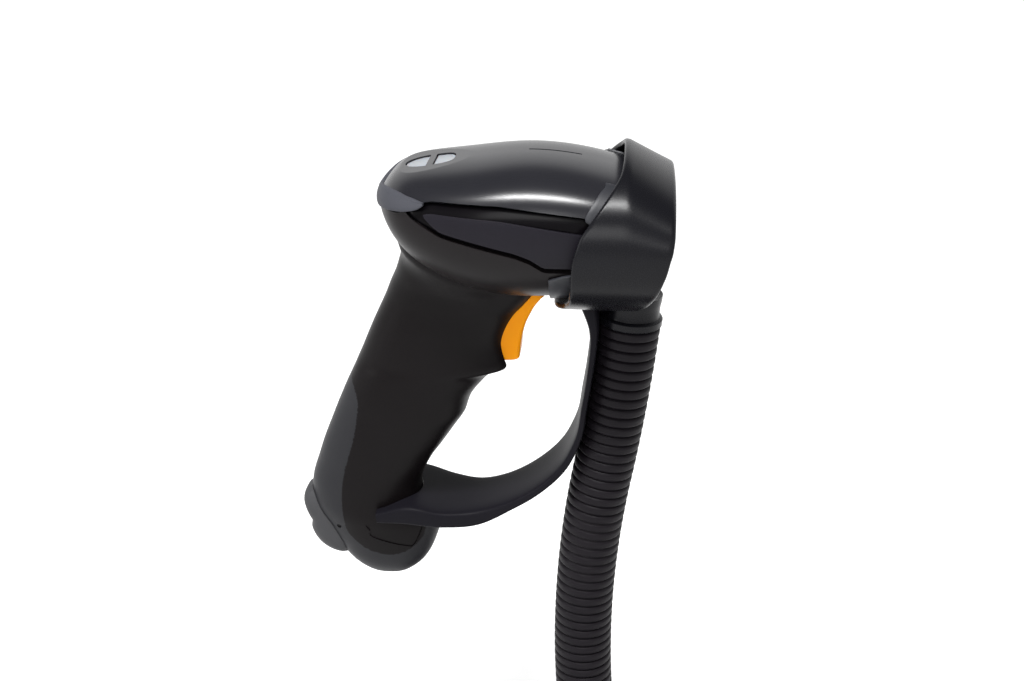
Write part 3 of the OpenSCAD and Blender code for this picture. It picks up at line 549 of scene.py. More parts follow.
def buildCover():
    xs = rowsBetween(0, 1, head["rows"], head["crowd"])
    angles = {x: coverAngles(x) for x in xs}
    outer = [[headPoint(x, a, 0) for a in angles[x]] for x in xs]
    inner = [[headPoint(x, a, -head["wall"]) for a in angles[x]] for x in xs]
    piece = shell("topCover", outer, inner)
    bevel(piece, cover["edge"])
    for window in (rearWindow, frontWindow):
        combine(piece, onTongue(window(cover["windowGap"]), *cover["windowCut"]))
    x0, x1, w = cover["slotStart"], cover["slotStart"] + cover["slotLength"], cover["slotWidth"] / 2
    low, high = cover["slotHeights"]
    combine(piece, box("slot", (x0, -w, low), (x1, w, high)))
    finishPiece(piece, satinCharcoal, ["top_cover"])


buildCover()
for name, outline, node in (("rearLens", rearWindow(0), "indicator_lens_rear"),
                            ("frontLens", frontWindow(0), "indicator_lens_front")):
    piece = onTongue(outline, cover["windowSunk"] + cover["windowThickness"], -cover["windowSunk"])
    piece.name = name
    bevel(piece, cover["windowEdge"])
    finishPiece(piece, frosted, [node])
print("top cover built")


# Side strips, blades, bumper and boot
def mirroredPair(name, xs, low, high, values, depths, material, node):  # a wall between two heights
    outer, inner = (band(xs, lambda x: headAngle(x, low(x)), lambda x: headAngle(x, high(x)), values["columns"], d)
                    for d in depths)
    for side, word in ((1, "right"), (-1, "left")):
        grids = [[[(x, side * y, z) for x, y, z in row] for row in grid] for grid in (outer, inner)]
        piece = shell(name + word.title(), *grids)
        bevel(piece, values["edge"])
        finishPiece(piece, material, [node + "_" + word])


strip = {"from": 0.15, "depth": 1.4, "thickness": 1.2, "edge": 0.1, "rows": 60, "columns": 10}
blade = {"from": 0.205, "to": 0.775, "topGap": [(0.215, 3.2), (0.775, 5.2)], "lowGap": 1.8, "edge": 0.5,
         "tip": 0.06, "tipWidth": 0.4, "least": 0.5, "rows": 60, "crowd": 1.5, "columns": 14}


def bladeTop(x):
    return coverZ(x) - straightAt(headU(x), blade["topGap"])


def bladeLow(x):  # the rear end comes to a rounded point under the top edge
    widened = min(1, max(0, (headU(x) - blade["from"]) / blade["tip"]))
    low = min(bladeTop(x) - blade["least"], bellyZ(x) + blade["lowGap"])
    return mix(bladeTop(x) - blade["tipWidth"], low, sqrt(widened * (2 - widened)))


mirroredPair("sideStrip", rowsBetween(strip["from"], 1, strip["rows"]), lambda x: bellyZ(x) + head["seam"], coverZ,
             strip, (-strip["depth"], -strip["depth"] - strip["thickness"]), glossPlastic, "side_trim")
mirroredPair("sideBlade", rowsBetween(blade["from"], blade["to"], blade["rows"], blade["crowd"]), bladeLow, bladeTop,
             blade, (0, -strip["depth"] + head["seat"]), bladePlastic, "side_insert")

bumper = {
    "tip": 0.205, "centre": (0.3, 0.68), "edge": 0.85, "middle": 1.1, "inside": 0.1,
    "bead": 0.25, "beadAt": 0.9, "beadWidth": 0.08, "crown": 4, "rows": 18, "halfColumns": 40, "halvings": 24,
    "top": [(0, 0.762), (0.29, 0.812), (0.49, 0.826), (0.67, 0.824), (0.79, 0.815), (0.9, 0.806), (1, 0.792)],
    "low": [(0, 0.655), (0.37, 0.69), (0.54, 0.708), (0.66, 0.717), (0.81, 0.729), (0.94, 0.75), (1, 0.775)],
}
bumperTip = headStart + bumper["tip"] * head["length"]


def backX(z):  # where the head's back has this height
    low, high = headStart, bumperTip
    for _ in range(bumper["halvings"]):
        middle = (low + high) / 2
        if headLow(middle) < z < headTop(middle):
            high = middle
        else:
            low = middle
    return (low + high) / 2


def bumperPoint(t, v, d):
    z = head["height"] * mix(smoothAt(abs(t), bumper["low"]), smoothAt(abs(t), bumper["top"]), v)
    x = mix(backX(z), bumperTip, t * t)
    point = Vector((x, copysign(halfAt(x, z), t), z))
    back, up = bumper["centre"]
    away = (point - Vector((headStart + back * head["length"], 0, up * head["height"]))).normalized()
    return tuple(point + d * away)


def bumperGrid(low, high):
    grid, half = [], bumper["halfColumns"]
    bead = bumper["bead"] if high > low else 0  # a lip along the upper edge
    for v in [k / bumper["rows"] for k in range(bumper["rows"] + 1)]:
        lip = bead * exp(-((v - bumper["beadAt"]) / bumper["beadWidth"]) ** 2)
        d = mix(low, high, 1 - (2 * v - 1) ** bumper["crown"]) + lip
        grid.append([bumperPoint(j / half, v, d) for j in range(-half, half + 1)])
    return grid


piece = shell("rearBumper", bumperGrid(bumper["edge"], bumper["middle"]),
              bumperGrid(bumper["inside"], bumper["inside"]))
finishPiece(piece, rubber, ["rear_bumper"], sharpFrom=60)

boot = {
    "thickness": 0.9, "front": 0.5, "top": 0.895, "topAt": -10, "edgeAt": -14, "edgeSpread": 0.006,
    "bevel": 0.3, "rows": 12, "columns": 90,
    "edge": [(0.35, -27.5), (0.38, -13.5), (0.69, -13.5), (0.72, -16.5), (0.74, -16.1), (0.81, -13.9),
             (0.87, -11.7), (0.895, -10.2)],
}


def bootGrid(front, back):
    start = headAngle(boot["topAt"], boot["top"] * head["height"])
    angles = [mix(start, -180 - start, j / boot["columns"]) for j in range(boot["columns"] + 1)]
    heights = [headPoint(boot["edgeAt"], a, 0)[2] / head["height"] for a in angles]
    ends = [(softAt(z, boot["edge"], boot["edgeSpread"]), head["nose"]) for z in heights]
    return wrapped(headPoint, angles, ends, boot["rows"], [back] * boot["rows"] + [front])


seat = head["seat"]
piece = shell("noseBoot", bootGrid(boot["front"] + seat, boot["thickness"] + seat), bootGrid(seat, seat))
bevel(piece, boot["bevel"])
# The boot takes the rubber darkened as painted shade
finishPiece(piece, shadedBootRubber, ["nose_boot"])
print("strips, blades, bumper and boot built")

# Handle and belly: in form each height has its back, its front and its share of the half width
grip = {
    "width": 32.6, "taper": 2.2, "taperTo": -80, "power": 2.3, "edge": 0.3, "high": 20, "flaredHigh": 22,
    "rows": 130, "columns": 72, "endRows": 6, "endStep": 0.3, "endGap": 1.7, "bellyColumns": 72,
    "insideFrom": 0.03, "insideTo": 1.05, "insideGap": 0.3, "insideRows": 30, "insideColumns": 36,
    "low": -114.7, "coverWall": 2.4, "coverHigh": -20, "hollowLow": -110,
    "form": [(-114.7, -92.5, -83.5, 0.25), (-112.2, -97.8, -79, 0.55), (-107.3, -103.6, -74, 0.77),
             (-99.5, -109, -70.3, 0.88), (-91, -113.2, -68.6, 0.97), (-86.5, -115.4, -71.2, 1),
             (-82, -116.4, -74.8, 1), (-74, -116, -75.4, 1), (-64.5, -113, -71.2, 1), (-58, -110.8, -66.8, 1),
             (-51, -108, -62.2, 1), (-45.5, -105.8, -58.6, 1), (-42, -104.3, -57.5, 1), (-38, -102.6, -55.9, 1),
             (-33, -100.3, -52.2, 1), (-27.9, -97.9, -47, 1), (-26.7, -97.4, -42.5, 1), (-24.9, -96.6, -41.1, 1),
             (-22, -95.3, -42.2, 1), (-16.5, -93, -43.4, 1), (-11.2, -90.7, -42.1, 1), (-5.8, -88.2, -39.2, 1),
             (-1.7, -86.3, -35.6, 1.02), (4, -84, -31.5, 1.08), (9, -81.8, -31, 1.18), (20, -78.5, -31, 1.3)],
    "flare": 2.4, "flareHeight": 9.0, "flarePower": 2.2, "flareTurn": (0.55, 0.7), "flareFrom": (1, 0.5),
    "seamLine": [(-99.5, -31.5), (-97.6, -34.2), (-96.3, -37.6), (-95.9, -42), (-97.4, -51.5), (-99.9, -60),
                 (-102.3, -69), (-103.3, -77), (-103.2, -86.5), (-101.8, -93), (-98, -97.8), (-93, -100.8),
                 (-87.2, -102), (-82, -101.4), (-77.4, -98.6), (-73.8, -94.6), (-70.6, -88), (-55, -86)],
    "recess": [(-93.3, -88), (-93.3, -91), (-92.4, -94), (-80.8, -97.9), (-77.4, -97.9), (-74, -90), (-74, -88)],
    "recessDepth": 0.35, "recessHeights": (-100, -84), "cutHalf": 20, "cutCorner": (-130, -120), "cutFront": -55,
}


def gripRing(z, d, flared=False):
    back, front = smoothAt(z, grip["form"], 1) - d, smoothAt(z, grip["form"], 2) + d
    taper = grip["taper"] * min(1, max(0, z / grip["taperTo"]))
    half = (grip["width"] / 2 - taper + d) * smoothAt(z, grip["form"], 3)
    ring = []
    for j in range(grip["columns"]):
        a = 2 * pi * j / grip["columns"]
        x = mix(back, front, 0.5) + (front - back) / 2 * roundedPower(cos(a), grip["power"])
        y = half * roundedPower(sin(a), grip["power"])
        if flared:  # the handle opens into the belly at the back and the sides
            wide, deep = (max(x, headStart + inset) for inset in grip["flareFrom"])
            v, bend, turn = min(1, abs(y) / headHalf(wide)), head["lowerPower"], grip["flareTurn"]
            meet = headMid(x) - reach(deep, False) * (1 - v ** bend) ** (1 / bend)
            rise = max(0, 1 - max(0, meet - z) / grip["flareHeight"])
            weight = min(1, max(0, (turn[0] - cos(a)) / turn[1]))
            out = grip["flare"] * rise ** grip["flarePower"] * weight
            n = Vector((cos(a) * half, sin(a) * (front - back) / 2)).normalized()
            x, y = x + n.x * out, y + n.y * out
        ring.append((x, y, z))
    return ring


def gripSolid(name, d, low=grip["low"], high=grip["high"], flared=False):  # the whole handle or a length of it
    steps = [mix(low, high, k / grip["rows"]) for k in range(grip["rows"] + 1)]
    if low == grip["low"]:  # closer rows where the end is rounded
        end = [low + grip["endStep"] * k for k in range(grip["endRows"])]
        steps = end + [z for z in steps if z > low + grip["endGap"]]
    return loft(name, [gripRing(z, d, flared) for z in steps])


def offsetLine(points, distance):
    result = []
    for i, (x, z) in enumerate(points):
        a, b = points[max(0, i - 1)], points[min(len(points) - 1, i + 1)]
        length = hypot(b[0] - a[0], b[1] - a[1])
        result.append((x + (b[1] - a[1]) / length * distance, z - (b[0] - a[0]) / length * distance))
    return result


def batterySide(distance):  # outline of everything behind and below the seam
    line = offsetLine(smoothLoop(grip["seamLine"], 5, False), distance)
    x, z = grip["cutCorner"]
    return [(x, line[0][1])] + line + [(grip["cutFront"], z), (x, z)]


trigger = {
    "axis": (-42, 6.5), "width": 13, "pin": 3.1, "pinHalf": 10, "pinColumns": 36, "pocketHalf": 6.9,
    "pocket": (-59, -28, -28.4, 12.6), "opening": (-50.5, -29.8, -3, 9),  # from x to x, from z to z
}


def triggerRoom(name):
    x0, x1, z0, z1 = trigger[name]
    return box(name, (x0, -trigger["pocketHalf"], z0), (x1, trigger["pocketHalf"], z1))


def buildBody():
    xs = rowsBetween(0, 1, head["rows"], head["crowd"])
    outer, inner = (band(xs, lambda x: headAngle(x, bellyZ(x)), lambda x: -180 - headAngle(x, bellyZ(x)),
                         grip["bellyColumns"], d) for d in (0, -head["wall"]))
    piece = shell("mainBody", outer, inner)
    bevel(piece, grip["edge"])
    markFaces(piece, 1)
    handle = markFaces(gripSolid("handle", 0, high=grip["flaredHigh"], flared=True), 0)
    xs = rowsBetween(grip["insideFrom"], grip["insideTo"], grip["insideRows"])
    depth, angles = -head["wall"] - grip["insideGap"], around(grip["insideColumns"])
    combine(handle, loft("inside", [[headPoint(x, a, depth) for a in angles] for x in xs]))
    combine(handle, prism("batterySide", batterySide(0), grip["cutHalf"]))
    recess = prism("recess", smoothLoop(grip["recess"]), grip["cutHalf"])
    combine(recess, gripSolid("recessFloor", -grip["recessDepth"], *grip["recessHeights"]))
    combine(handle, recess)
    combine(handle, triggerRoom("pocket"))
    combine(piece, handle, "UNION")
    combine(piece, triggerRoom("opening"))
    # The belly's faces take the lighter copy of the grip plastic, whose tone and sheen are painted light
    finishPiece(piece, gripPlastic, ["main_body"], second=litBellyPlastic)


buildBody()


# Battery cover and its pad
screw = {"x": -105.3, "z": -91, "hole": 1.2, "holeEnd": -4, "sink": 1.8, "from": -9.7, "outside": -20, "columns": 30}
pad = {
    "centre": (-110.4, 0, -92.4), "lean": 59.8, "width": 18.8, "foot": 4, "power": 2.5, "seat": 0.15, "rows": 72,
    "columns": 40,
    "form": [(-14.9, 0.9, 0.32), (-13.9, 2.6, 0.6), (-12, 4.3, 0.78), (-9, 5.5, 0.9), (-5.4, 6.1, 0.96),
             (-3.2, 6.2, 0.98), (-2.4, 6.9, 0.99), (-0.6, 8.2, 1), (3, 8.9, 1), (6.5, 8.6, 0.98), (10, 7.1, 0.92),
             (13, 4.7, 0.78), (14.6, 2.7, 0.56), (15.3, 1.2, 0.32)],
}


def buildBatteryCover():
    piece = gripSolid("batteryCover", 0, high=grip["coverHigh"])
    combine(piece, prism("batterySide", batterySide(-head["seam"]), grip["cutHalf"]), "INTERSECT")
    hollow = gripSolid("hollow", -grip["coverWall"], grip["hollowLow"], grip["coverHigh"])
    combine(piece, hollow)
    for name, low, high in (("hole", screw["from"], screw["holeEnd"]), ("sink", screw["outside"], screw["from"])):
        outline = circleAt(screw["x"], screw["z"], screw[name] / 2, screw["columns"])
        combine(piece, across(name, outline, low, high))
    finishPiece(piece, coverPlastic, ["battery_cover"])


def buildPad():
    first, last = pad["form"][0][0], pad["form"][-1][0]
    rings = []
    for i in range(pad["rows"] + 1):
        t = mix(first, last, 0.5 - cos(pi * i / pad["rows"]) / 2)
        tall, half = smoothAt(t, pad["form"], 1), smoothAt(t, pad["form"], 2) * pad["width"] / 2
        arch = [(-t, half * roundedPower(cos(pi * j / pad["columns"]), pad["power"]),
                 tall * roundedPower(sin(pi * j / pad["columns"]), pad["power"]))
                for j in range(pad["columns"] + 1)]
        rings.append([(-t, half, -pad["foot"])] + arch + [(-t, -half, -pad["foot"])])
    piece = loft("endPad", rings, leaning(pad["centre"], 180 + pad["lean"]))
    combine(piece, gripSolid("padSeat", pad["seat"]))
    finishPiece(piece, padPlastic, ["end_pad"], sharpFrom=40)


buildBatteryCover()
buildPad()
print("handle built")


# Trigger whose finger side is rounded off towards both flanks
lever = {
    "edge": 1.5, "rows": 20, "fingerSide": (-46, 5), "tip": (-19, 4),  # where the rounding starts, and over how much
    "springGap": (-6, 3.4, -3.4, 5.6), "springHalf": 2.8,
    "outline": [(-46, 2), (-46.5, 8), (-44, 10.5), (-40, 10.5), (-37.5, 8), (-35.2, 2.6), (-30.4, 1.5), (-31.3, 0),
                (-33.3, -2.5), (-35, -5.7), (-36.4, -8.9), (-37.5, -12.8), (-38.1, -16.6), (-38.4, -19.5),
                (-38.6, -21.9), (-39.8, -23.1), (-43, -23.5), (-48, -22.8), (-48.6, -17), (-47.5, -8)],
}


def buildTrigger():
    outline = smoothLoop(lever["outline"])
    half, edge, rings = trigger["width"] / 2, lever["edge"], []
    (side, sideWidth), (tip, tipWidth) = lever["fingerSide"], lever["tip"]
    for k in range(-lever["rows"], lever["rows"] + 1):
        y = half * sin(pi / 2 * k / lever["rows"])
        fall = edge * (1 - sqrt(1 - (max(0, abs(y) - half + edge) / edge) ** 2))
        rings.append([(x - fall * min(1, max(0, (x - side) / sideWidth)), y,
                       z + fall * min(1, max(0, (tip - z) / tipWidth))) for x, z in outline])
    piece = loft("triggerLever", rings)
    x, z = trigger["axis"]
    combine(piece, prism("pinHole", circleAt(x, z, trigger["pin"] / 2, trigger["pinColumns"]), trigger["pinHalf"]))
    x0, x1, z0, z1 = lever["springGap"]
    half = lever["springHalf"]
    combine(piece, box("springGap", (x + x0, -half, z + z0), (x + x1, half, z + z1)))
    finishPiece(piece, triggerPlastic, ["trigger"], sharpFrom=50, body="trigger")


buildTrigger()
print("trigger built")

# Hood, collar and arm in one moulding: rim and front give the hood's two edges as height and place
hood = {
    "half": 37.8, "top": 53.4, "wall": 2.2, "level": 26, "low": -0.8, "power": 2.2, "fall": 0.55, "fallFrom": -3,
    "columns": 132, "rows": 16, "edge": 0.9, "edgesAt": -5, "rimSpread": 1.0, "frontSpread": 1.6,
    "space": (-30, 14), "spaceGap": 0.4, "spaceColumns": 48, "gripSpace": (0.5, -95, -60),
    "rim": [(-4, -27), (0.3, -26.6), (3, -22.6), (8, -20.9), (12, -20.6), (19.4, -20.2), (25.6, -19.7),
            (33.2, -17.5), (36.5, -15.1), (40.7, -12.1), (46.2, -7.9), (49.5, -5.4), (52.2, -4.6), (54, -4.4)],
    "front": [(-4, -2.5), (3, 1), (7, 4.6), (13, 7.5), (21, 10), (29, 11.6), (36, 12.2), (54, 12.4)],
}


def hoodPoint(x, angle, d):
    a = radians(angle)
    up = sin(a) > 0
    top = hood["top"] - hood["fall"] * max(0, x - hood["fallFrom"]) - hood["level"]
    h = (top if up else hood["level"] - hood["low"]) + d
    return (x, -(hood["half"] + d) * roundedPower(cos(a), hood["power"]),
            hood["level"] + h * roundedPower(sin(a), hood["power"]))


def hoodGrid(d):
    angles = around(hood["columns"])
    heights = [hoodPoint(hood["edgesAt"], a, 0)[2] for a in angles]
    ends = [(softAt(z, hood["rim"], hood["rimSpread"]), softAt(z, hood["front"], hood["frontSpread"])) for z in heights]
    return wrapped(hoodPoint, angles, ends, hood["rows"], [d] * (hood["rows"] + 1))


collar = {
    "steps": 72, "inside": 7.15, "inner": 4.6,
    "foot": [(10.8, 0), (11.3, 0.5), (11.3, 2.7), (10.9, 3.2), (10.2, 3.5), (10, 4.2)],  # from its lower end
    "neck": [(10, -2), (10.3, 0)],
}
arm = {
    "width": 25, "forkWidth": 35.4, "thickness": 2.6, "rows": 110, "columns": 64, "last": 11, "step": 0.05,
    "power": [(0, 4), (6, 4.5), (8.5, 8), (11, 8)],
    "line": [(0, -16.2, 3, 2.4), (0.3, -14.2, -2.5, 2.1), (0.6, -13.0, -8, 1.5), (1, -12.8, -14, 1.15),
             (2, -14, -27, 1), (3, -15.6, -39, 1), (3.6, -17.2, -50, 1.1), (4.2, -22.1, -61.7, 1.3),
             (5, -30.9, -71.5, 1.45), (6, -42.2, -79.2, 1.8), (7, -54, -84.1, 2.6), (8, -66, -84.1, 2.65),
             (9, -78, -82.0, 3.05), (10, -86.6, -82.9, 2.1), (11, -89.9, -83.3, 1.7)],
    "spread": [(0, 0), (6, 0), (6.8, 0.15), (7.4, 0.4), (8, 0.75), (8.6, 0.95), (9, 1), (11, 1)], "soften": 0.3,
    "neckRoom": 0.5, "neckRoomTop": 3.3, "neckRoomLength": 72, "neckRoomSteps": 24,
}


def armPoint(t):
    return smoothAt(t, arm["line"], 1), smoothAt(t, arm["line"], 2)


def armRing(t):
    p, q, o = armPoint(t), armPoint(min(arm["last"], t + arm["step"])), armPoint(max(0, t - arm["step"]))
    length = hypot(q[0] - o[0], q[1] - o[1])
    n = (-(q[1] - o[1]) / length, (q[0] - o[0]) / length)
    h = arm["thickness"] / 2 * smoothAt(t, arm["line"], 3)
    w = mix(arm["width"], arm["forkWidth"], softAt(t, arm["spread"], arm["soften"])) / 2
    bend, ring = straightAt(t, arm["power"]), []
    for j in range(arm["columns"]):
        a = -2 * pi * j / arm["columns"]
        y, e = w * roundedPower(cos(a), bend), h * roundedPower(sin(a), bend)
        ring.append((p[0] + n[0] * e, y, p[1] + n[1] * e))
    return ring


def neckRing(s, radius, count=40):  # in the object's own frame
    x, z, heading = routeAt(s)
    h = radians(heading)
    turns = [2 * pi * j / count for j in range(count)]
    return [(x + radius * cos(a) * cos(h), radius * sin(a), z - radius * cos(a) * sin(h)) for a in turns]


def buildCollar():
    low = -neck["collarLength"]
    outside = [(r, low + z) for r, z in collar["foot"]] + collar["neck"] + [(collar["neck"][-1][0], collar["inner"])]
    profile = [(collar["inside"], low)] + outside + [(collar["inside"], collar["inner"])]
    return lathe("collar", profile, collar["steps"], leaning((0, 0, 0), routeEnd[2]))


def buildHolder():
    piece = shell("standHolder", hoodGrid(0), hoodGrid(-hood["wall"]), True)
    bevel(piece, hood["edge"], segments=3, angle=50)
    markFaces(piece, 0)
    rings = [armRing(arm["last"] * k / arm["rows"]) for k in range(arm["rows"] + 1)]
    strap = markFaces(loft("strap", rings), 1)
    top, steps = neckLength - neck["collarLength"] + arm["neckRoomTop"], arm["neckRoomSteps"]
    room = [neckRing(top - arm["neckRoomLength"] * (1 - k / steps), neck["ribDiameter"] / 2 + arm["neckRoom"])
            for k in range(steps + 1)]
    combine(strap, loft("neckRoom", room, lambda p: tuple(c * mm for c in p)))
    combine(strap, buildCollar(), "UNION")
    depth, angles = hood["spaceGap"] - hood["wall"], around(hood["spaceColumns"])
    combine(strap, loft("space", [[hoodPoint(x, a, depth) for a in angles] for x in hood["space"]]))
    combine(piece, strap, "UNION")
    combine(piece, gripSolid("gripSpace", *hood["gripSpace"]))
    # The arm's faces take the copy of the hood plastic whose dull sheen is painted shade
    finishPiece(piece, satinHood, ["holder"], second=shadedArmPlastic)


buildHolder()
print("holder built")


# Gooseneck sleeve: a tube swept along the route whose radius swells at every rib
def sleeveTree(material):
    tree = bpy.data.node_groups.new("ribbedSleeve", "GeometryNodeTree")
    face = tree.interface
    face.new_socket("Geometry", in_out="INPUT", socket_type="NodeSocketGeometry")
    for name in ("Pitch", "Root Radius", "Rib Height", "Top Length"):
        face.new_socket(name, in_out="INPUT", socket_type="NodeSocketFloat")
    for name in ("Rows", "Columns"):
        face.new_socket(name, in_out="INPUT", socket_type="NodeSocketInt")
    face.new_socket("Geometry", in_out="OUTPUT", socket_type="NodeSocketGeometry")
    given = addNode(tree, "NodeGroupInput").outputs
    rows = addNode(tree, "GeometryNodeResampleCurve", {"Curve": given["Geometry"], "Count": given["Rows"]},
                   {"keep_last_segment": True})
    along = addNode(tree, "GeometryNodeSplineParameter").outputs["Length"]
    below = calc(tree, "SUBTRACT", given["Top Length"], along)
    phase = calc(tree, "FRACT", calc(tree, "DIVIDE", below, given["Pitch"]))
    side = calc(tree, "MULTIPLY", calc(tree, "SUBTRACT", phase, 0.5), 2.0)  # from -1 to 1 over each rib
    wave = calc(tree, "POWER", calc(tree, "ABSOLUTE", side), neck["crestPower"])
    swell = calc(tree, "MULTIPLY", calc(tree, "SUBTRACT", 1.0, wave), given["Rib Height"])
    size = calc(tree, "ADD", given["Root Radius"], swell)
    circle = addNode(tree, "GeometryNodeCurvePrimitiveCircle", {"Radius": 1.0, "Resolution": given["Columns"]})
    tube = addNode(tree, "GeometryNodeCurveToMesh",
                   {"Curve": rows.outputs[0], "Profile Curve": circle.outputs[0], "Scale": size, "Fill Caps": True})
    whole = addNode(tree, "GeometryNodeRealizeInstances", {"Geometry": tube.outputs[0]})
    dressed = addNode(tree, "GeometryNodeSetMaterial", {"Geometry": whole.outputs[0], "Material": material})
    addNode(tree, "NodeGroupOutput", {"Geometry": dressed.outputs[0]})
    return tree


def buildSleeve():
    low, high = neck["from"] - neck["start"], neckLength - neck["collarLength"] - neck["collarGap"]
    curve, steps = bpy.data.curves.new("route", "CURVE"), neck["steps"]
    curve.dimensions = "3D"
    line = curve.splines.new("POLY")
    line.points.add(steps)
    for i in range(steps + 1):
        x, z, _ = routeAt(mix(low, high, i / steps))
        line.points[i].co = (x * mm, 0, z * mm, 1)
    path = linked("gooseneckSleeve", curve)
    step = path.modifiers.new("ribs", "NODES")
    step.node_group = sleeveTree(neckVinyl)
    chosen = {"Pitch": neck["pitch"] * mm, "Root Radius": neck["rootDiameter"] / 2 * mm,
              "Rib Height": (neck["ribDiameter"] - neck["rootDiameter"]) / 2 * mm, "Top Length": (high - low) * mm,
              "Rows": int((high - low) / neck["pitch"] * neck["rowsPerRib"]), "Columns": neck["columns"]}
    for item in step.node_group.interface.items_tree:
        if item.in_out == "INPUT" and item.name in chosen:
            step[item.identifier] = chosen[item.name]
    graph = bpy.context.evaluated_depsgraph_get()
    mesh = bpy.data.meshes.new_from_object(path.evaluated_get(graph))
    bpy.data.objects.remove(path)
    piece = linked("gooseneckSleeve", mesh)
    turnOutwards(piece)
    finishPiece(piece, neckVinyl, ["gooseneck_sleeve"], sharpFrom=60)


buildSleeve()
print("sleeve built")

# Finishes of the carried pieces
finishes = {
    zincSteel: ["trigger_pin", "trigger_spring", "board_screws", "engine_bracket", "bracket_screws", "battery_contact",
                "collar_screw", "gooseneck_core", "base_weight", "neck_socket", "socket_screw", "base_screws"],
    chipPlastic: ["trigger_switch", "scan_engine", "buzzer"], boardMask: ["trigger_board", "main_board"],
    scanGlass: ["scan_window"], cellSleeve: ["battery_cell"], blackSteel: ["cover_screw"],
    powderCoat: ["base_cover"], footRubber: ["base_pad"],
}
for material, names in finishes.items():
    for mesh in [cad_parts[name].data for name in names]:
        if mesh.materials:
            for i in range(len(mesh.materials)):
                mesh.materials[i] = material
        else:
            mesh.materials.append(material)
print("finishes given:", sum(len(names) for names in finishes.values()))

# Studio
studio = {
    "floorRadius": 6.0, "floorColour": 0.75, "floorNear": 0.62, "floorFar": 0.8, "fadeFrom": 0.5, "fadeTo": 2.2,
    "floorCorners": 96, "grain": 900.0, "grainDetail": 2.0, "grainDepth": 0.00002, "skyForDiffuse": 0.28,
    "ceilingFrom": (30, 50), "ceiling": 0.12,
    "lamps": [("overheadSoftbox", (0.0, -0.42, 1.35), (0.0, 0.0, 0.25), (0.5, 0.12), 22.0),
              ("leftSoftbox", (-1.1, -0.5, 0.7), (0.0, 0.0, 0.2), (0.6, 0.8), 6.0),
              ("frontSoftbox", (-0.1, -1.4, 0.85), (0.0, 0.0, 0.2), (0.5, 0.5), 5.5)],
}


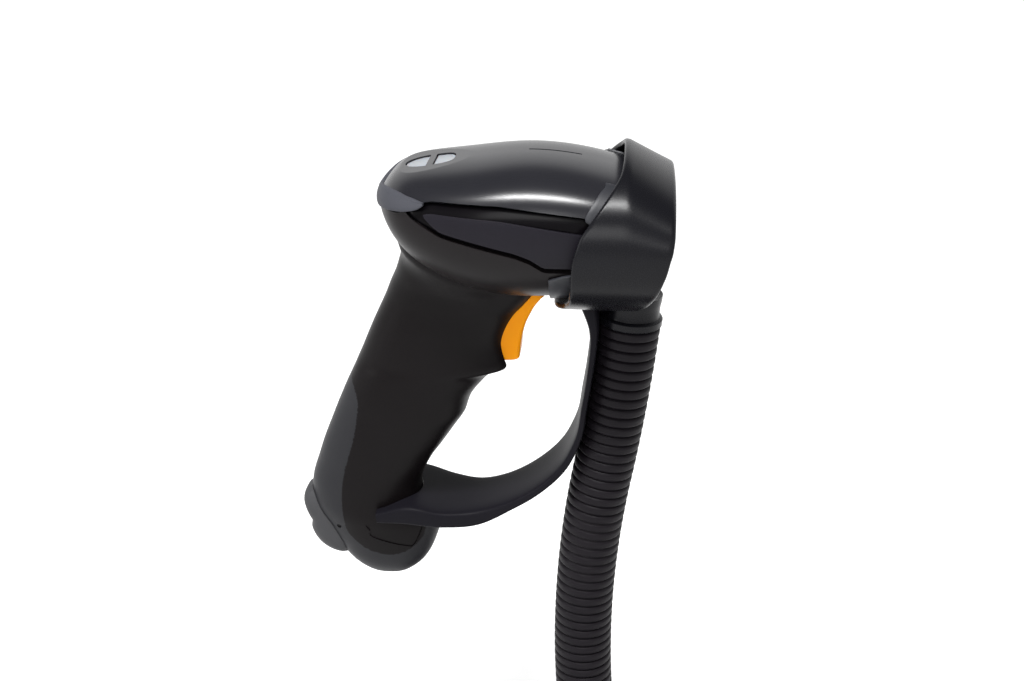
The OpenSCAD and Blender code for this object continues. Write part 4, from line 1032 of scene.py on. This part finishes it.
def buildStudio():
    material = bpy.data.materials.new("paleFloor")
    tree, grey = freshTree(material), studio["floorColour"]
    place = addNode(tree, "ShaderNodeTexCoord").outputs["Object"]
    grain = addNode(tree, "ShaderNodeTexNoise",
                    {"Vector": place, "Scale": studio["grain"], "Detail": studio["grainDetail"]})
    relief = addNode(tree, "ShaderNodeBump", {"Height": grain.outputs["Fac"], "Distance": studio["grainDepth"]})
    plain = addNode(tree, "ShaderNodeBsdfDiffuse", {"Color": (grey, grey, grey, 1), "Normal": relief.outputs[0]})
    away = addNode(tree, "ShaderNodeVectorMath", {0: place}, {"operation": "LENGTH"}).outputs["Value"]
    glow = softRange(tree, away, studio["fadeFrom"], studio["fadeTo"], studio["floorNear"], studio["floorFar"])
    white = addNode(tree, "ShaderNodeEmission", {"Color": (1, 1, 1, 1), "Strength": glow})
    both = addNode(tree, "ShaderNodeAddShader", {0: plain.outputs[0], 1: white.outputs[0]})
    choose = addNode(tree, "ShaderNodeMixShader", {0: seenRays(tree), 1: plain.outputs[0], 2: both.outputs[0]})
    addNode(tree, "ShaderNodeOutputMaterial", {"Surface": choose.outputs[0]})
    bpy.ops.mesh.primitive_circle_add(vertices=studio["floorCorners"], radius=studio["floorRadius"], fill_type="NGON")
    floor = bpy.context.object
    floor.name = "floor"
    floor.data.materials.append(material)
    world = bpy.data.worlds.new("studio")
    bpy.context.scene.world = world
    tree = freshTree(world)
    direction = addNode(tree, "ShaderNodeTexCoord").outputs["Generated"]
    height = addNode(tree, "ShaderNodeSeparateXYZ", {"Vector": direction}).outputs["Z"]
    walls = softRange(tree, height, *[sin(radians(a)) for a in studio["ceilingFrom"]], 1.0, studio["ceiling"])
    # Inputs 2 and 3 of this node are numbers
    strength = addNode(tree, "ShaderNodeMix", {"Factor": seenRays(tree), 2: studio["skyForDiffuse"], 3: walls})
    sky = addNode(tree, "ShaderNodeBackground", {"Color": (1, 1, 1, 1), "Strength": strength.outputs[0]})
    addNode(tree, "ShaderNodeOutputWorld", {"Surface": sky.outputs[0]})


def softRange(tree, value, fromMin, fromMax, toMin, toMax):
    return addNode(tree, "ShaderNodeMapRange",
                   {"Value": value, "From Min": fromMin, "From Max": fromMax, "To Min": toMin, "To Max": toMax},
                   {"interpolation_type": "SMOOTHSTEP"}).outputs[0]


def seenRays(tree):  # 1 where the camera, a reflection or clear plastic sees it
    rays = addNode(tree, "ShaderNodeLightPath").outputs
    seen = calc(tree, "MAXIMUM", rays["Is Camera Ray"], rays["Is Glossy Ray"])
    return calc(tree, "MAXIMUM", seen, rays["Is Transmission Ray"])


def addLamp(name, place, target, size, power):
    lamp = bpy.data.lights.new(name, "AREA")
    lamp.shape, lamp.size, lamp.size_y, lamp.energy = "RECTANGLE", size[0], size[1], power
    stand = linked(name, lamp)
    stand.location = place
    stand.rotation_euler = (Vector(target) - Vector(place)).to_track_quat("-Z", "Y").to_euler()


buildStudio()
for lamp in studio["lamps"]:
    addLamp(*lamp)

# Camera at the photograph's place, in millimetres
view = {"place": (7.0, -419.7, 405.0), "azimuth": 5.0, "pitch": 23.5, "focalPixels": 1300.0, "widthPixels": 1024,
        "sensor": 36.0, "clip": (0.01, 50)}


def buildCamera():
    a, p = radians(view["azimuth"]), radians(view["pitch"])
    forward = Vector((-sin(a) * cos(p), cos(a) * cos(p), -sin(p)))
    right = Vector((cos(a), sin(a), 0))
    up = right.cross(forward)
    data = bpy.data.cameras.new("photoCamera")
    data.sensor_width = view["sensor"]
    data.lens = view["focalPixels"] * view["sensor"] / view["widthPixels"]
    data.clip_start, data.clip_end = view["clip"]
    camera = linked("photoCamera", data)
    turn = Matrix((right, up, -forward)).transposed().to_4x4()
    camera.matrix_world = Matrix.Translation(Vector(view["place"]) * mm) @ turn
    bpy.context.scene.camera = camera


buildCamera()
bpy.context.scene.view_settings.view_transform = "Standard"
print("studio and camera ready")
